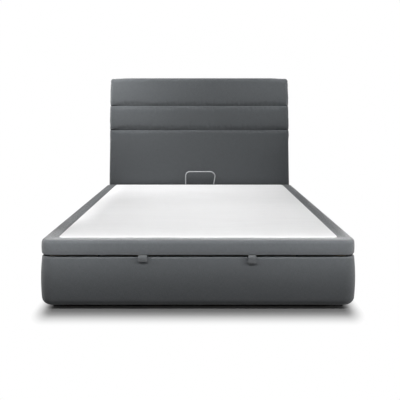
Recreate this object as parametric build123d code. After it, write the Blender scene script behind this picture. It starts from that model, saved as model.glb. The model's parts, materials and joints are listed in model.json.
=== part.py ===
from build123d import *
from math import atan2, cos, degrees, hypot, radians, sin
import os

# Ottoman storage bed. X runs across the bed, Y towards the headboard, Z up, in millimetres.
# The origin is on the floor, at the middle of the whole bed's outline.
# Places along the bed are given as u, the distance from the base's head end towards the foot.
# Places across the lift are given as d, the distance inwards from a side panel's inner face.

# Driving sizes of the base
BASE_WIDTH = 1500
BASE_LENGTH = 1900
BASE_CORNER = 60
UNDERSIDE = 15
RIM = 258
BASE_CROWN = 6.5
COVER = 15
PANEL = 18
FLOOR_TOP = 43
FLOOR_BOARD = 6

# Driving sizes of the lid
LID_GAP = 8
LID_THICKNESS = 66
LID_START = 2
DECK = 9
TOP_PAD = 18
BORDER_SIDE = 72
BORDER_FOOT = 80
BORDER_HEAD = 20

# Driving sizes of the headboard
HEADBOARD_HEIGHT = 1200
HEADBOARD_DEPTH = 90
HEADBOARD_TOP_WIDTH = 1454
HEADBOARD_FOOT_WIDTH = 1476
HEADBOARD_SETBACK = 8
SEAMS = (779, 978)

# Driving sizes of the lift, as (u, z) at rest, with the travel of each joint in degrees
ARM_PIVOT = (431, 233)
LINK_PIVOT = (726, 66)
LID_ARM_PIN = (231, 245)
LID_LINK_PIN = (310.5, 166)
ARM_TRAVEL = 55.9
LINK_TRAVEL = 34.3
LID_TRAVEL = 33.0
STRUT_RADIUS = 170
STRUT_ANGLE = 80

# Driving sizes of the mattress stop bar and the pull tabs
BAR_WIRE = 8
BAR_HEIGHT = 109
BAR_U = 20
BAR_TOP_LEFT = -111
BAR_TOP_RIGHT = 125
BAR_RIGHT_LEAN = 13
BAR_BENDS = (33, 41)
BAR_SLEEVE = 7
BAR_SLEEVE_PROUD = 2
TAB_LAYER = 1.5
TAB_BEND = 7
TAB_SEWN = 45
LEFT_TAB = (-260, 42, 30)
RIGHT_TAB = (255, 37, 38)

# What follows from the driving sizes
HALF_WIDTH = BASE_WIDTH / 2
LID_Z = RIM + LID_GAP
LID_TOP = LID_Z + LID_THICKNESS
LID_END = LID_START + BASE_LENGTH
DECK_TOP = LID_TOP - TOP_PAD
RAIL_TOP = DECK_TOP - DECK
LINING = 1
BOARD_OUT = HALF_WIDTH - COVER
BOARD_IN = BOARD_OUT - PANEL
BOARD_Z0 = UNDERSIDE + 13
BOARD_Z1 = RIM - 8
CORNER_X = HALF_WIDTH - BASE_CORNER
TAB_REACH = 12
TAB_FOLD = 3.6
BACK_U = -HEADBOARD_SETBACK - HEADBOARD_DEPTH
FRONT_U = BASE_LENGTH + TAB_REACH + TAB_FOLD
HEAD_Y = (BACK_U + FRONT_U) / 2

# Layers of the lift, as d from the side panel's inner face
PLATE = (0, 3)
ARM = (8, 13)
FLANGE = (14, 17)
LINK = (18, 23)
STRUT = 39
SIDE_GAP = 0.3

# Small sizes of the lift, as radii where they are round or six-sided
EYE_HALF = 4
PIN = 5
PIN_HEAD = 9
PIN_HEAD_HEIGHT = 3
WASHER_HOLE = 5.8
RUNNING = 0.05
OPEN_PIVOT_HOLE = 6.1
STUD = 4
STUD_SHOULDER = 7
STUD_KEEPER = 6.5
KEEPER_HEIGHT = 2
EYE_PLAY = 0.5
BAR_HALF = 16
PLATE_CORNER = 20

# Bolts, as radii, and the height of their heads
BOLT = 3.5
BOLT_HEAD = 7
HEAD_HEIGHT = 3


def y_at(u):
    """Y of a place that lies u from the base's head end."""
    return HEAD_Y - u


def block(x0, x1, u0, u1, z0, z1):
    """A box between two corners, with u along the bed."""
    return Pos((x0 + x1) / 2, y_at((u0 + u1) / 2), (z0 + z1) / 2) * Box(x1 - x0, abs(u1 - u0), z1 - z0)


def disc(radius, u, z, d0, d1):
    """A round piece on the right side, across the bed between two depths."""
    x1 = BOARD_IN - d0
    return Pos(x1 - (d1 - d0) / 2, y_at(u), z) * Rot(0, 90, 0) * Cylinder(radius, d1 - d0)


def hex_across(radius, u, z, d0, d1):
    """A six-sided piece on the right side, across the bed between two depths."""
    return plate_from(Pos(y_at(u), z) * RegularPolygon(radius, 6), d0, d1)


def hex_upright(radius, x, u, z0, z1):
    """A six-sided upright piece."""
    return extrude(Plane.XY.offset(z0) * Pos(x, y_at(u)) * RegularPolygon(radius, 6), z1 - z0)


def hex_along(radius, x, u0, u1, z):
    """A six-sided piece along the bed between two places."""
    return Pos(x, y_at(u0), z) * extrude(Plane.XZ * RegularPolygon(radius, 6), u1 - u0)


def bolt_up(x, u, z0, length):
    """A bolt that points up, its head below z0."""
    head = hex_upright(BOLT_HEAD, x, u, z0 - HEAD_HEIGHT, z0)
    return head + hex_upright(BOLT, x, u, z0, z0 + length)


def bolt_across(d, u, z, length):
    """A bolt on the right side that points outwards, its head on the inner side of d."""
    return hex_across(BOLT_HEAD, u, z, d, d + HEAD_HEIGHT) + hex_across(BOLT, u, z, d - length, d)


def bolt_along(x, u, z, length):
    """A bolt along the bed from u, with its head on the other side of u."""
    way = 1 if length > 0 else -1
    head = hex_along(BOLT_HEAD, x, u - way * HEAD_HEIGHT, u, z)
    return head + hex_along(BOLT, x, u, u + length, z)


def left_of(shape):
    """The same piece on the left side."""
    return mirror(shape, Plane.YZ)


def both_sides(shape):
    """The piece on the right side, and its twin on the left."""
    return [shape, left_of(shape)]


def plate_from(sketch, d0, d1):
    """A flat piece on the right side, from a side view in (y, z), between two depths."""
    return extrude(Plane.YZ.offset(BOARD_IN - d1) * sketch, d1 - d0, dir=(1, 0, 0))


def round_bar(a, b, half):
    """Side view of a flat bar with round ends, between two (u, z) points."""
    ends = [Pos(y_at(u), z) * Circle(half) for u, z in (a, b)]
    return make_hull([edge for end in ends for edge in end.edges()])


def square_bar(a, b, half):
    """Side view of a flat bar with square ends, between two (u, z) points."""
    length = hypot(b[0] - a[0], b[1] - a[1])
    turn = degrees(atan2(b[1] - a[1], a[0] - b[0]))
    middle = Pos(y_at((a[0] + b[0]) / 2), (a[1] + b[1]) / 2)
    return middle * Rot(0, 0, turn) * Rectangle(length, 2 * half)


def side_view(points):
    """Side view of a flat piece with straight sides, from (u, z) points in order."""
    return Polygon(*[(y_at(u), z) for u, z in points], align=None)


def hull_plate(points, corner):
    """Side view of a pressed plate, from (u, z) points in any order, with its corners soft."""
    corners = [Pos(y_at(u), z) * RegularPolygon(corner, 12) for u, z in points]
    return make_hull([edge for corner in corners for edge in corner.edges()])


def turned(point, centre, angle):
    """A (u, z) point turned about a centre, anticlockwise in that view."""
    du, dz = point[0] - centre[0], point[1] - centre[1]
    c, s = cos(radians(angle)), sin(radians(angle))
    return centre[0] + c * du - s * dz, centre[1] + s * du + c * dz


def chords(centre, radius, start, turn, count):
    """Points of a soft edge in a section: an arc as a few chords, with its angles in degrees."""
    angles = [radians(start + turn * step / count) for step in range(count + 1)]
    return [(centre[0] + radius * cos(a), centre[1] + radius * sin(a)) for a in angles]


def crowned(a, b, swell, count):
    """Points of a crowned side between two points of a section, as a few chords."""
    points = []
    for step in range(1, count):
        share = step / count
        bulge = 4 * swell * share * (1 - share)
        points.append((a[0] + (b[0] - a[0]) * share + bulge, a[1] + (b[1] - a[1]) * share))
    return points


def swept_ring(section, half_x, half_y, corner):
    """Sweep a section round a rounded rectangle. Its x is the distance out from the corner centres."""
    cx, cy = half_x - corner, half_y - corner
    upright = Plane.XZ * section
    turn = revolve(upright, Axis.Z, 90)
    side = extrude(upright, 2 * cy)
    end = extrude(upright, 2 * cx)
    ring = Pos(cx, cy, 0) * side + Pos(cx, cy, 0) * turn
    ring += Pos(-cx, cy, 0) * Rot(0, 0, 90) * end
    ring += Pos(-cx, cy, 0) * Rot(0, 0, 90) * turn
    ring += Pos(-cx, -cy, 0) * Rot(0, 0, 180) * side
    ring += Pos(-cx, -cy, 0) * Rot(0, 0, 180) * turn
    ring += Pos(cx, -cy, 0) * Rot(0, 0, 270) * end
    ring += Pos(cx, -cy, 0) * Rot(0, 0, 270) * turn
    return ring


# The base

BASE_MID_Y = y_at(BASE_LENGTH / 2)
BASE_FOOT_OUT = 3.5
BASE_LOW_ROUND = 36
BASE_TOP_ROUND = 8


def base_cover():
    """Upholstery round the base: a crowned outer wall that wraps over the rim and under the panels."""
    out, low, high = BASE_CORNER, BASE_LOW_ROUND, BASE_TOP_ROUND
    board_out, board_in = out - COVER, out - COVER - PANEL
    bottom = chords((out + BASE_FOOT_OUT - low, UNDERSIDE + low), low, -90, 90, 4)
    top = chords((out - high, RIM - high), high, 0, 90, 2)
    wall = crowned(bottom[-1], top[0], BASE_CROWN - BASE_FOOT_OUT / 2, 4)
    outline = Polyline(*bottom, *wall, *top, (board_in, RIM), (board_in, BOARD_Z1), (board_out, BOARD_Z1),
                       (board_out, BOARD_Z0), (board_in, BOARD_Z0), (board_in, UNDERSIDE), close=True)
    ring = swept_ring(make_face(outline), HALF_WIDTH, BASE_LENGTH / 2, BASE_CORNER)
    return Pos(0, BASE_MID_Y, 0) * ring


CORNER_U = (BASE_CORNER, BASE_LENGTH - BASE_CORNER)
POST = 67
CORNER_BOLT_Z = (80, 200)


def corner_post(sign_x, foot):
    """A post that fills a round corner of the base, against the side panel and the end panel."""
    u = CORNER_U[1] if foot else CORNER_U[0]
    way = 1 if foot else -1
    inner_u = u - way * (POST - BASE_CORNER + COVER + PANEL + 10)
    face_u = u + way * (BASE_CORNER - COVER - PANEL)
    post = block(BOARD_IN - POST, BOARD_IN, min(inner_u, face_u), max(inner_u, face_u), BOARD_Z0, BOARD_Z1)
    quarter = Pos(CORNER_X, y_at(u), (BOARD_Z0 + BOARD_Z1) / 2) * Cylinder(
        BASE_CORNER - COVER, BOARD_Z1 - BOARD_Z0)
    reach = BASE_CORNER
    keep = block(CORNER_X, CORNER_X + reach, min(u, u + way * reach), max(u, u + way * reach),
                 BOARD_Z0, BOARD_Z1)
    post = post + (quarter & keep)
    return post if sign_x > 0 else left_of(post)


def corner_bolts():
    """Bolts from each post into the side panel and the end panel that meet there."""
    bolts = []
    for foot in (True, False):
        u = CORNER_U[1] if foot else CORNER_U[0]
        way = 1 if foot else -1
        for z in CORNER_BOLT_Z:
            bolts += both_sides(bolt_across(POST, u - way * 25, z, POST + 10))
            along = bolt_along(BOARD_IN - POST / 2, u - way * 50, z, way * (50 + 27 + 10))
            bolts += both_sides(along)
    return bolts


def side_panel(sign_x, bolts):
    """One long side board of the base."""
    board = block(BOARD_IN, BOARD_OUT, CORNER_U[0], CORNER_U[1], BOARD_Z0, BOARD_Z1)
    board = board if sign_x > 0 else left_of(board)
    return board - bolts


def end_panel(foot, bolts):
    """The foot or head board of the base, between the two round corners."""
    if foot:
        board = block(-CORNER_X, CORNER_X, BASE_LENGTH - COVER - PANEL, BASE_LENGTH - COVER,
                      BOARD_Z0, BOARD_Z1)
    else:
        board = block(-CORNER_X, CORNER_X, COVER, COVER + PANEL, BOARD_Z0, BOARD_Z1)
    return board - bolts


CLEAT = 20
CLEAT_Z0 = FLOOR_TOP - FLOOR_BOARD - CLEAT
END_IN = COVER + PANEL
POST_REACH = 50


def floor_cleats():
    """Battens on the panels' inner faces, between the posts, that carry the floor."""
    u0, u1 = CORNER_U[0] + POST_REACH, CORNER_U[1] - POST_REACH
    z1 = CLEAT_Z0 + CLEAT
    side = block(BOARD_IN - CLEAT, BOARD_IN, u0, u1, CLEAT_Z0, z1)
    reach = BOARD_IN - POST
    foot = block(-reach, reach, BASE_LENGTH - END_IN - CLEAT, BASE_LENGTH - END_IN, CLEAT_Z0, z1)
    head = block(-reach, reach, END_IN, END_IN + CLEAT, CLEAT_Z0, z1)
    return both_sides(side) + [foot, head]


def centre_rail():
    """The rail under the joint of the two floor boards."""
    return block(-35, 35, END_IN + CLEAT, BASE_LENGTH - END_IN - CLEAT, CLEAT_Z0, CLEAT_Z0 + CLEAT)


def cross_rails():
    """Short rails between the centre rail and the side cleats."""
    rails = []
    for u in (500, 950, 1400):
        rail = block(35, BOARD_IN - CLEAT, u - 30, u + 30, CLEAT_Z0, CLEAT_Z0 + CLEAT)
        rails += both_sides(rail)
    return rails


def floor_board(sign_x):
    """One half of the storage floor, notched round the posts."""
    z0 = FLOOR_TOP - FLOOR_BOARD
    board = block(0.5, BOARD_IN - 1, END_IN + 1, BASE_LENGTH - END_IN - 1, z0, FLOOR_TOP)
    gap = 1
    notch_x0 = BOARD_IN - POST - gap
    notch_u = CORNER_U[0] + POST_REACH + gap
    board -= block(notch_x0, BOARD_IN, END_IN, notch_u, z0, FLOOR_TOP)
    board -= block(notch_x0, BOARD_IN, BASE_LENGTH - notch_u, BASE_LENGTH - END_IN, z0, FLOOR_TOP)
    return board if sign_x > 0 else left_of(board)


GLIDE = 44


def glide(x, u, top):
    """A square plastic foot with its lower edges eased."""
    half = GLIDE / 2
    foot = block(x - half, x + half, u - half, u + half, 0, top)
    return chamfer(foot.faces().sort_by(Axis.Z)[0].edges(), 3)


def glides():
    """Feet under the posts and the centre rail."""
    feet = []
    for u in (CORNER_U[0] + 10, CORNER_U[1] - 10):
        feet += both_sides(glide(BOARD_IN - POST / 2 - 8, u, BOARD_Z0))
    for u in (CORNER_U[0] + 300, BASE_LENGTH / 2, CORNER_U[1] - 300):
        feet.append(glide(0, u, CLEAT_Z0))
    return feet


BUMPER_GAP = 0.3
BUMPER_HALF = 7


def rim_bumper(x, u):
    """One square rubber pad on the rim."""
    half = BUMPER_HALF
    return block(x - half, x + half, u - half, u + half, RIM, LID_Z - BUMPER_GAP)


def rim_bumpers():
    """Soft pads on the rim, which the closed lid rests on."""
    pads = []
    for u in (130, 1000, 1700):
        pads += both_sides(rim_bumper(BOARD_IN + 12, u))
    return pads + both_sides(rim_bumper(470, BASE_LENGTH - COVER - 6))


# The lift, drawn on the right side

def arm_direction():
    """Angle of the main arm at rest, in the (u, z) view."""
    return degrees(atan2(LID_ARM_PIN[1] - ARM_PIVOT[1], LID_ARM_PIN[0] - ARM_PIVOT[0]))


def from_arm_pivot(radius, angle):
    """A point at a radius and an angle about the arm's pivot."""
    a = radians(angle)
    return ARM_PIVOT[0] + radius * cos(a), ARM_PIVOT[1] + radius * sin(a)


ARM_STUD = from_arm_pivot(STRUT_RADIUS, arm_direction())
BASE_STUD = from_arm_pivot(STRUT_RADIUS, arm_direction() + STRUT_ANGLE)
STRUT_CLOSED = hypot(ARM_STUD[0] - BASE_STUD[0], ARM_STUD[1] - BASE_STUD[1])
STRUT_OPEN = 2 * STRUT_RADIUS * sin(radians((STRUT_ANGLE + ARM_TRAVEL) / 2))
STROKE = STRUT_OPEN - STRUT_CLOSED

PLATE_CORNERS = (BASE_STUD, LINK_PIVOT, (ARM_PIVOT[0], ARM_PIVOT[1] - 4))
PLATE_WINDOW = ((445, 88), (585, 88), (445, 182))
PLATE_BOLTS = ((430, 62), (560, 62), (680, 66), (398, 118), (431, 196))


def base_plate():
    """Steel plate on the side panel that carries the arm, the link and the strut."""
    plate = plate_from(hull_plate(PLATE_CORNERS, PLATE_CORNER) - side_view(PLATE_WINDOW), *PLATE)
    for u, z in (ARM_PIVOT, LINK_PIVOT, BASE_STUD):
        plate -= hex_across(PIN, u, z, *PLATE)
    return plate - plate_bolts()


def plate_bolts():
    """Bolts that hold one base plate to its side panel."""
    return [bolt_across(PLATE[1], u, z, PLATE[1] + 14) for u, z in PLATE_BOLTS]


def base_pin(point, bar):
    """A pin riveted in the base plate, with a collar on one side of its bar and a head on the other."""
    u, z = point
    collar, head = bar[0] - SIDE_GAP, bar[1] + SIDE_GAP
    pin = hex_across(PIN, u, z, *PLATE) + hex_across(PIN_HEAD, u, z, PLATE[1], collar)
    pin += disc(PIN, u, z, collar, head)
    return pin + hex_across(PIN_HEAD, u, z, head, head + PIN_HEAD_HEIGHT)


def strut_stud(point, root, face):
    """A stud riveted between two depths, with a shoulder, a seat for the strut's eye and a keeper."""
    u, z = point
    seat, keeper = STRUT - EYE_HALF - EYE_PLAY, STRUT + EYE_HALF + EYE_PLAY
    stud = hex_across(PIN, u, z, root, face) + hex_across(STUD_SHOULDER, u, z, face, seat)
    stud += disc(STUD, u, z, seat, keeper)
    return stud + hex_across(STUD_KEEPER, u, z, keeper, keeper + KEEPER_HEIGHT)


def base_pivots():
    """The two pivot pins and the strut stud on one base plate."""
    return [base_pin(ARM_PIVOT, ARM), base_pin(LINK_PIVOT, LINK), strut_stud(BASE_STUD, *PLATE)]


def pivot_washers():
    """Plastic washers on the lid's pins, between the bracket and each bar."""
    washers = []
    for point, layer in ((LID_ARM_PIN, (ARM[1] + SIDE_GAP, FLANGE[0])),
                         (LID_LINK_PIN, (FLANGE[1], LINK[0] - SIDE_GAP))):
        ring = hex_across(PIN_HEAD, *point, *layer) - hex_across(WASHER_HOLE, *point, *layer)
        washers += both_sides(ring)
    return washers


RIB = (34, STRUT_RADIUS - 30)
RIB_HALF = 5
RIB_DEPTH = 1.5


def main_arm():
    """The long lifting arm, with a dished stiffening rib along its middle."""
    arm = plate_from(round_bar(ARM_PIVOT, LID_ARM_PIN, BAR_HALF), *ARM)
    for u, z in (ARM_PIVOT, LID_ARM_PIN):
        arm -= disc(PIN + RUNNING, u, z, *ARM)
    arm -= hex_across(PIN, *ARM_STUD, *ARM)
    ends = [from_arm_pivot(radius, arm_direction()) for radius in RIB]
    return arm - plate_from(square_bar(*ends, RIB_HALF), ARM[1] - RIB_DEPTH, ARM[1])


def control_link():
    """The lower link. Its lid end has the wider hole of the opened pivot."""
    link = plate_from(round_bar(LINK_PIVOT, LID_LINK_PIN, BAR_HALF), *LINK)
    link -= disc(PIN + RUNNING, *LINK_PIVOT, *LINK)
    return link - disc(OPEN_PIVOT_HOLE, *LID_LINK_PIN, *LINK)


BRACKET_U = (206, 350)
LINK_LEG_U = 276
BRACKET_BEND = LID_Z - 12
BRACKET_REACH = 34
BRACKET_BOLTS = ((220, 32), (274, 32), (334, 32))
LEG = 17


def bracket_leg(point, u0, u1):
    """Side view of a bracket's leg: round about its pin, and from u0 to u1 wide at the bend."""
    u, z = point
    leg = side_view(((u - LEG, z), (u + LEG, z), (u1, BRACKET_BEND), (u0, BRACKET_BEND)))
    return leg + Pos(y_at(u), z) * Circle(LEG)


def lid_bracket():
    """Steel angle under the lid's rail: two legs with the lid's pins, and a bolted top.

    The arm's strut stud turns about the arm's pin in the gap between the legs.
    """
    u0, u1 = BRACKET_U
    strip = side_view(((u0, BRACKET_BEND), (u1, BRACKET_BEND), (u1, LID_Z), (u0, LID_Z)))
    legs = bracket_leg(LID_ARM_PIN, u0, LID_ARM_PIN[0] + LEG)
    legs += bracket_leg(LID_LINK_PIN, LINK_LEG_U, u1)
    bracket = plate_from(strip + legs, *FLANGE)
    x1 = BOARD_IN - FLANGE[0]
    bracket += block(x1 - BRACKET_REACH, x1, u0, u1, LID_Z - 3, LID_Z)
    for u, z in (LID_ARM_PIN, LID_LINK_PIN):
        bracket -= hex_across(PIN, u, z, *FLANGE)
    return bracket - bracket_bolts()


def bracket_bolts():
    """Bolts up through one lid bracket into the lid's rail."""
    return [bolt_up(BOARD_IN - d, u, LID_Z - 3, 30) for u, d in BRACKET_BOLTS]


def lid_pivots():
    """The two pins on one lid bracket: the arm's points outwards and the link's inwards."""
    outer, inner = ARM[0] - SIDE_GAP, LINK[1] + SIDE_GAP
    arm_pin = hex_across(PIN, *LID_ARM_PIN, *FLANGE) + disc(PIN, *LID_ARM_PIN, outer, FLANGE[0])
    arm_pin += hex_across(PIN_HEAD, *LID_ARM_PIN, outer - PIN_HEAD_HEIGHT, outer)
    link_pin = hex_across(PIN, *LID_LINK_PIN, *FLANGE) + disc(PIN, *LID_LINK_PIN, FLANGE[1], inner)
    link_pin += hex_across(PIN_HEAD, *LID_LINK_PIN, inner, inner + PIN_HEAD_HEIGHT)
    return [arm_pin, link_pin]


# Parts of the strut, drawn along +Z from the lower eye and then laid in place
TUBE = (16, STRUT_CLOSED - 29)
TUBE_RADIUS = 11
WALL = 2
ROD_RADIUS = 4
ROD_GAP = 0.4
PISTON = (36, 44)
GLAND = 12
NECK = 8.5
NECK_RADIUS = 5.5
ROD_NECK = 22


def eye(z):
    """A strut end: a flat tongue with an eye for a stud."""
    tongue = Pos(0, 0, z) * Rot(0, 90, 0) * Cylinder(10, 2 * EYE_HALF)
    return tongue, Pos(0, 0, z) * Rot(0, 90, 0) * Cylinder(STUD + RUNNING, 2 * EYE_HALF)


def end_fitting(z0, z1):
    """The six-sided neck of an eye, screwed on the strut's end."""
    return extrude(Plane.XY.offset(z0) * RegularPolygon(NECK_RADIUS, 6), z1 - z0)


def turned_profile(*points):
    """A round piece from (radius, height) points."""
    return revolve(make_face(Plane.XZ * Polyline(*points, close=True)), Axis.Z)


def gas_cylinder():
    """The strut's pressure tube, with its gland and lower eye."""
    tongue, hole = eye(0)
    bore, mouth = TUBE_RADIUS - WALL, ROD_RADIUS + ROD_GAP
    foot, top = TUBE
    tube = turned_profile(
        (0, foot), (TUBE_RADIUS, foot), (TUBE_RADIUS, top), (mouth, top), (mouth, top - GLAND),
        (bore, top - GLAND), (bore, foot + GLAND), (0, foot + GLAND))
    return (tongue + end_fitting(NECK, foot) + tube) - hole


def gas_rod():
    """The strut's rod, with its piston inside the tube and its upper eye."""
    tongue, hole = eye(STRUT_CLOSED)
    piston, neck = TUBE_RADIUS - WALL - ROD_GAP, STRUT_CLOSED - ROD_NECK
    rod = turned_profile(
        (0, PISTON[0]), (piston, PISTON[0]), (piston, PISTON[1]), (ROD_RADIUS, PISTON[1]),
        (ROD_RADIUS, neck), (0, neck))
    return (tongue + end_fitting(neck, STRUT_CLOSED - NECK) + rod) - hole


def laid_strut(piece):
    """Lay a strut piece between the two studs, on the right side."""
    du, dz = ARM_STUD[0] - BASE_STUD[0], ARM_STUD[1] - BASE_STUD[1]
    lean = degrees(atan2(du, dz))
    place = Pos(BOARD_IN - STRUT, y_at(BASE_STUD[0]), BASE_STUD[1])
    return place * Rot(lean, 0, 0) * piece


# The lid

LID_MID_Y = y_at((LID_START + LID_END) / 2)
RAIL = 70
END_RAIL = 62
LID_LOW_ROUND = 14
LID_TOP_ROUND = 23
BATTEN_U = (330, 640, 950, 1260, 1570)
BATTEN_HALF = 25
BATTEN_DEPTH = 24


def lid_block():
    """The lid's whole outer form, with its rounded edges."""
    low, high = LID_LOW_ROUND, LID_TOP_ROUND
    outline = Polyline(
        (0, LID_Z), *chords((BASE_CORNER - low, LID_Z + low), low, -90, 90, 3),
        *chords((BASE_CORNER - high, LID_TOP - high), high, 0, 90, 4), (0, LID_TOP), close=True)
    ring = swept_ring(make_face(outline), HALF_WIDTH, BASE_LENGTH / 2, BASE_CORNER)
    core = Pos(0, 0, LID_Z + LID_THICKNESS / 2) * Box(2 * CORNER_X, BASE_LENGTH, LID_THICKNESS)
    middle = core & Box(BASE_WIDTH, BASE_LENGTH - 2 * BASE_CORNER, 2 * LID_TOP)
    return Pos(0, LID_MID_Y, 0) * (ring + middle)


def pad_block():
    """The pale top pad's whole space."""
    half = HALF_WIDTH - BORDER_SIDE
    return block(-half, half, LID_START + BORDER_HEAD, LID_END - BORDER_FOOT, DECK_TOP, LID_TOP)


def top_pad():
    """The breathable pad inside the border, with its upper edges eased."""
    return chamfer(pad_block().faces().sort_by(Axis.Z)[-1].edges(), 4)


def inner_plan(inset):
    """The lid's plan inside its border's wall."""
    width, length = BASE_WIDTH - 2 * inset, BASE_LENGTH - 2 * inset
    return Pos(0, LID_MID_Y) * RectangleRounded(width, length, BASE_CORNER - inset)


def lid_border():
    """Upholstered border: an outer wall that wraps over the deck as far as the pale pad."""
    hollow = extrude(Plane.XY.offset(LID_Z) * inner_plan(COVER), DECK_TOP - LID_Z)
    return lid_block() - hollow - pad_block()


def deck_board():
    """The board that carries the pad."""
    return extrude(Plane.XY.offset(RAIL_TOP) * inner_plan(COVER), DECK)


def underside_lining(bolts):
    """Thin cloth under the frame."""
    return extrude(Plane.XY.offset(LID_Z) * inner_plan(COVER), LINING) - bolts


def lid_side_rail(sign_x, bolts):
    """One long rail of the lid's frame."""
    rail = block(BOARD_OUT - RAIL, BOARD_OUT, LID_START + END_RAIL, LID_END - END_RAIL,
                 LID_Z + LINING, RAIL_TOP)
    rail = rail if sign_x > 0 else left_of(rail)
    return rail - bolts


def lid_end_rail(foot):
    """The lid frame's rail at the foot or the head, with its corners cut round inside the border."""
    if foot:
        u0, u1 = LID_END - END_RAIL, LID_END - COVER
    else:
        u0, u1 = LID_START + COVER, LID_START + END_RAIL
    rail = block(-BOARD_OUT, BOARD_OUT, u0, u1, LID_Z + LINING, RAIL_TOP)
    plan = extrude(Plane.XY.offset(LID_Z) * inner_plan(COVER), LID_THICKNESS)
    return rail & plan


def lid_battens():
    """Cross battens between the side rails, under the deck."""
    half, z0 = BOARD_OUT - RAIL, RAIL_TOP - BATTEN_DEPTH
    return [block(-half, half, u - BATTEN_HALF, u + BATTEN_HALF, z0, RAIL_TOP) for u in BATTEN_U]


def stop_bar():
    """The bent wire at the head of the lid that keeps the mattress from sliding down."""
    y = y_at(BAR_U)
    z0, z1 = DECK_TOP - 8, LID_TOP + BAR_HEIGHT - BAR_WIRE / 2
    foot_right = BAR_TOP_RIGHT - BAR_RIGHT_LEAN
    path = FilletPolyline(
        (BAR_TOP_LEFT, y, z0), (BAR_TOP_LEFT, y, z1), (BAR_TOP_RIGHT, y, z1), (foot_right, y, z0),
        radius=list(BAR_BENDS))
    return sweep(Plane(path @ 0, z_dir=path % 0) * RegularPolygon(BAR_WIRE / 2, 8), path=path)


def bar_feet():
    """Centres of the bar's two feet at the lid's top."""
    lean = BAR_RIGHT_LEAN * BAR_HEIGHT / (BAR_HEIGHT + TOP_PAD + 8)
    return (BAR_TOP_LEFT, BAR_TOP_RIGHT - lean)


def bar_sockets(bar):
    """Sleeves through the border and the deck that hold the bar's feet, and stand a little proud."""
    top = LID_TOP + BAR_SLEEVE_PROUD
    return [hex_upright(BAR_SLEEVE, x, BAR_U, RAIL_TOP, top) - bar for x in bar_feet()]


def pull_tab(x, width, hang):
    """A folded strap sewn under the lid's front edge, hanging as a flat loop before the base."""
    thick = 2 * TAB_LAYER
    u_face = BASE_LENGTH + TAB_REACH
    z_mid = LID_Z - TAB_LAYER
    z_low = LID_Z - hang
    path = FilletPolyline(
        (y_at(BASE_LENGTH - TAB_SEWN), z_mid), (y_at(u_face), z_mid), (y_at(u_face), z_low),
        radius=TAB_BEND)
    strap = trace(path, thick)
    strap += Pos(y_at(u_face), z_low) * Circle(TAB_FOLD)
    return extrude(Plane.YZ.offset(x - width / 2) * strap, width)


# The headboard

FRAME_BACK = BACK_U + 2
FRAME_FRONT = FRAME_BACK + 50
BOARD_FRONT = FRAME_FRONT + 9
SIDE_WRAP = 14
TOP_WRAP = 22
HEADBOARD_ROUND = 22
TOP_DROP = 6
CHANNEL_CROWN = 4


def headboard_half(z):
    """Half of the headboard's width at a height."""
    share = z / HEADBOARD_HEIGHT
    return (HEADBOARD_FOOT_WIDTH * (1 - share) + HEADBOARD_TOP_WIDTH * share) / 2


def tapered_slab(u0, u1, z0, z1, inset=0.0):
    """A slab with the headboard's tapered sides."""
    low, high = headboard_half(z0) - inset, headboard_half(z1) - inset
    outline = Polygon((-low, z0), (low, z0), (high, z1), (-high, z1), align=None)
    front = Plane.XZ.offset(-y_at(u1))
    return extrude(front * outline, -(u1 - u0))


def rounded_plan(z, radius=HEADBOARD_ROUND):
    """Plan of the headboard's upholstery at a height, with its two front corners soft."""
    half, front, back = headboard_half(z), y_at(-HEADBOARD_SETBACK), y_at(BACK_U)
    left = chords((-half + radius, front + radius), radius, 180, 90, 3)
    right = chords((half - radius, front + radius), radius, 270, 90, 3)
    return Plane.XY.offset(z) * make_face(Polyline(*left, *right, (half, back), (-half, back), close=True))


def channel_profile(z0, z1, round_low, round_high):
    """Side view of a stitched channel: crowned between its ends, which are drawn in by their radii."""
    face, back = y_at(-HEADBOARD_SETBACK), y_at(BACK_U)
    edge = face + CHANNEL_CROWN
    low = chords((edge + round_low, z0 + round_low), round_low, 270, -90, 3)
    high = chords((edge + round_high, z1 - round_high), round_high, 180, -90, 3)
    return make_face([
        ThreePointArc(low[-1], (face, (z0 + z1) / 2), high[0]),
        Polyline(*high, (back, z1), (back, z0), *low),
    ])


def channel(z0, z1, round_low=13, round_high=13):
    """One stitched channel of the headboard between two seams."""
    width = HEADBOARD_FOOT_WIDTH + 20
    profile = channel_profile(z0, z1, round_low, round_high)
    body = extrude(Plane.YZ.offset(-width / 2) * profile, width)
    return body & loft([rounded_plan(z0), rounded_plan(z1)], ruled=True)


def top_outline():
    """Front view of the headboard: a slightly crowned top with soft corners."""
    half, radius = headboard_half(HEADBOARD_HEIGHT), HEADBOARD_ROUND
    top, side, reach = HEADBOARD_HEIGHT, HEADBOARD_HEIGHT - TOP_DROP - radius, half + 20
    left = chords((-half + radius, side), radius, 180, -90, 3)
    right = chords((half - radius, side), radius, 90, -90, 3)
    outline = [
        ThreePointArc(left[-1], (0, top), right[0]),
        Polyline(*right, (reach, side), (reach, 0), (-reach, 0), (-reach, side), *left),
    ]
    front = Plane.XZ.offset(-y_at(BACK_U - 5)) * make_face(outline)
    return extrude(front, HEADBOARD_DEPTH + 20)


def headboard_pocket():
    """The space that the frame and its board take inside the upholstery."""
    high = HEADBOARD_HEIGHT - TOP_WRAP
    return tapered_slab(BACK_U - 5, BOARD_FRONT, UNDERSIDE - 5, high, SIDE_WRAP)


def headboard_cover():
    """Foam and fabric over the headboard: two narrow channels above one tall panel."""
    low, high = SEAMS
    upper = channel(high, HEADBOARD_HEIGHT, round_high=HEADBOARD_ROUND) & top_outline()
    return (channel(UNDERSIDE, low) + channel(low, high) + upper) - headboard_pocket()


STILE = 70
FRAME_TOP = HEADBOARD_HEIGHT - TOP_WRAP
CROSS_RAILS = ((40, 110), (300, 370), (720, 790), (FRAME_TOP - 70, FRAME_TOP))


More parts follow.
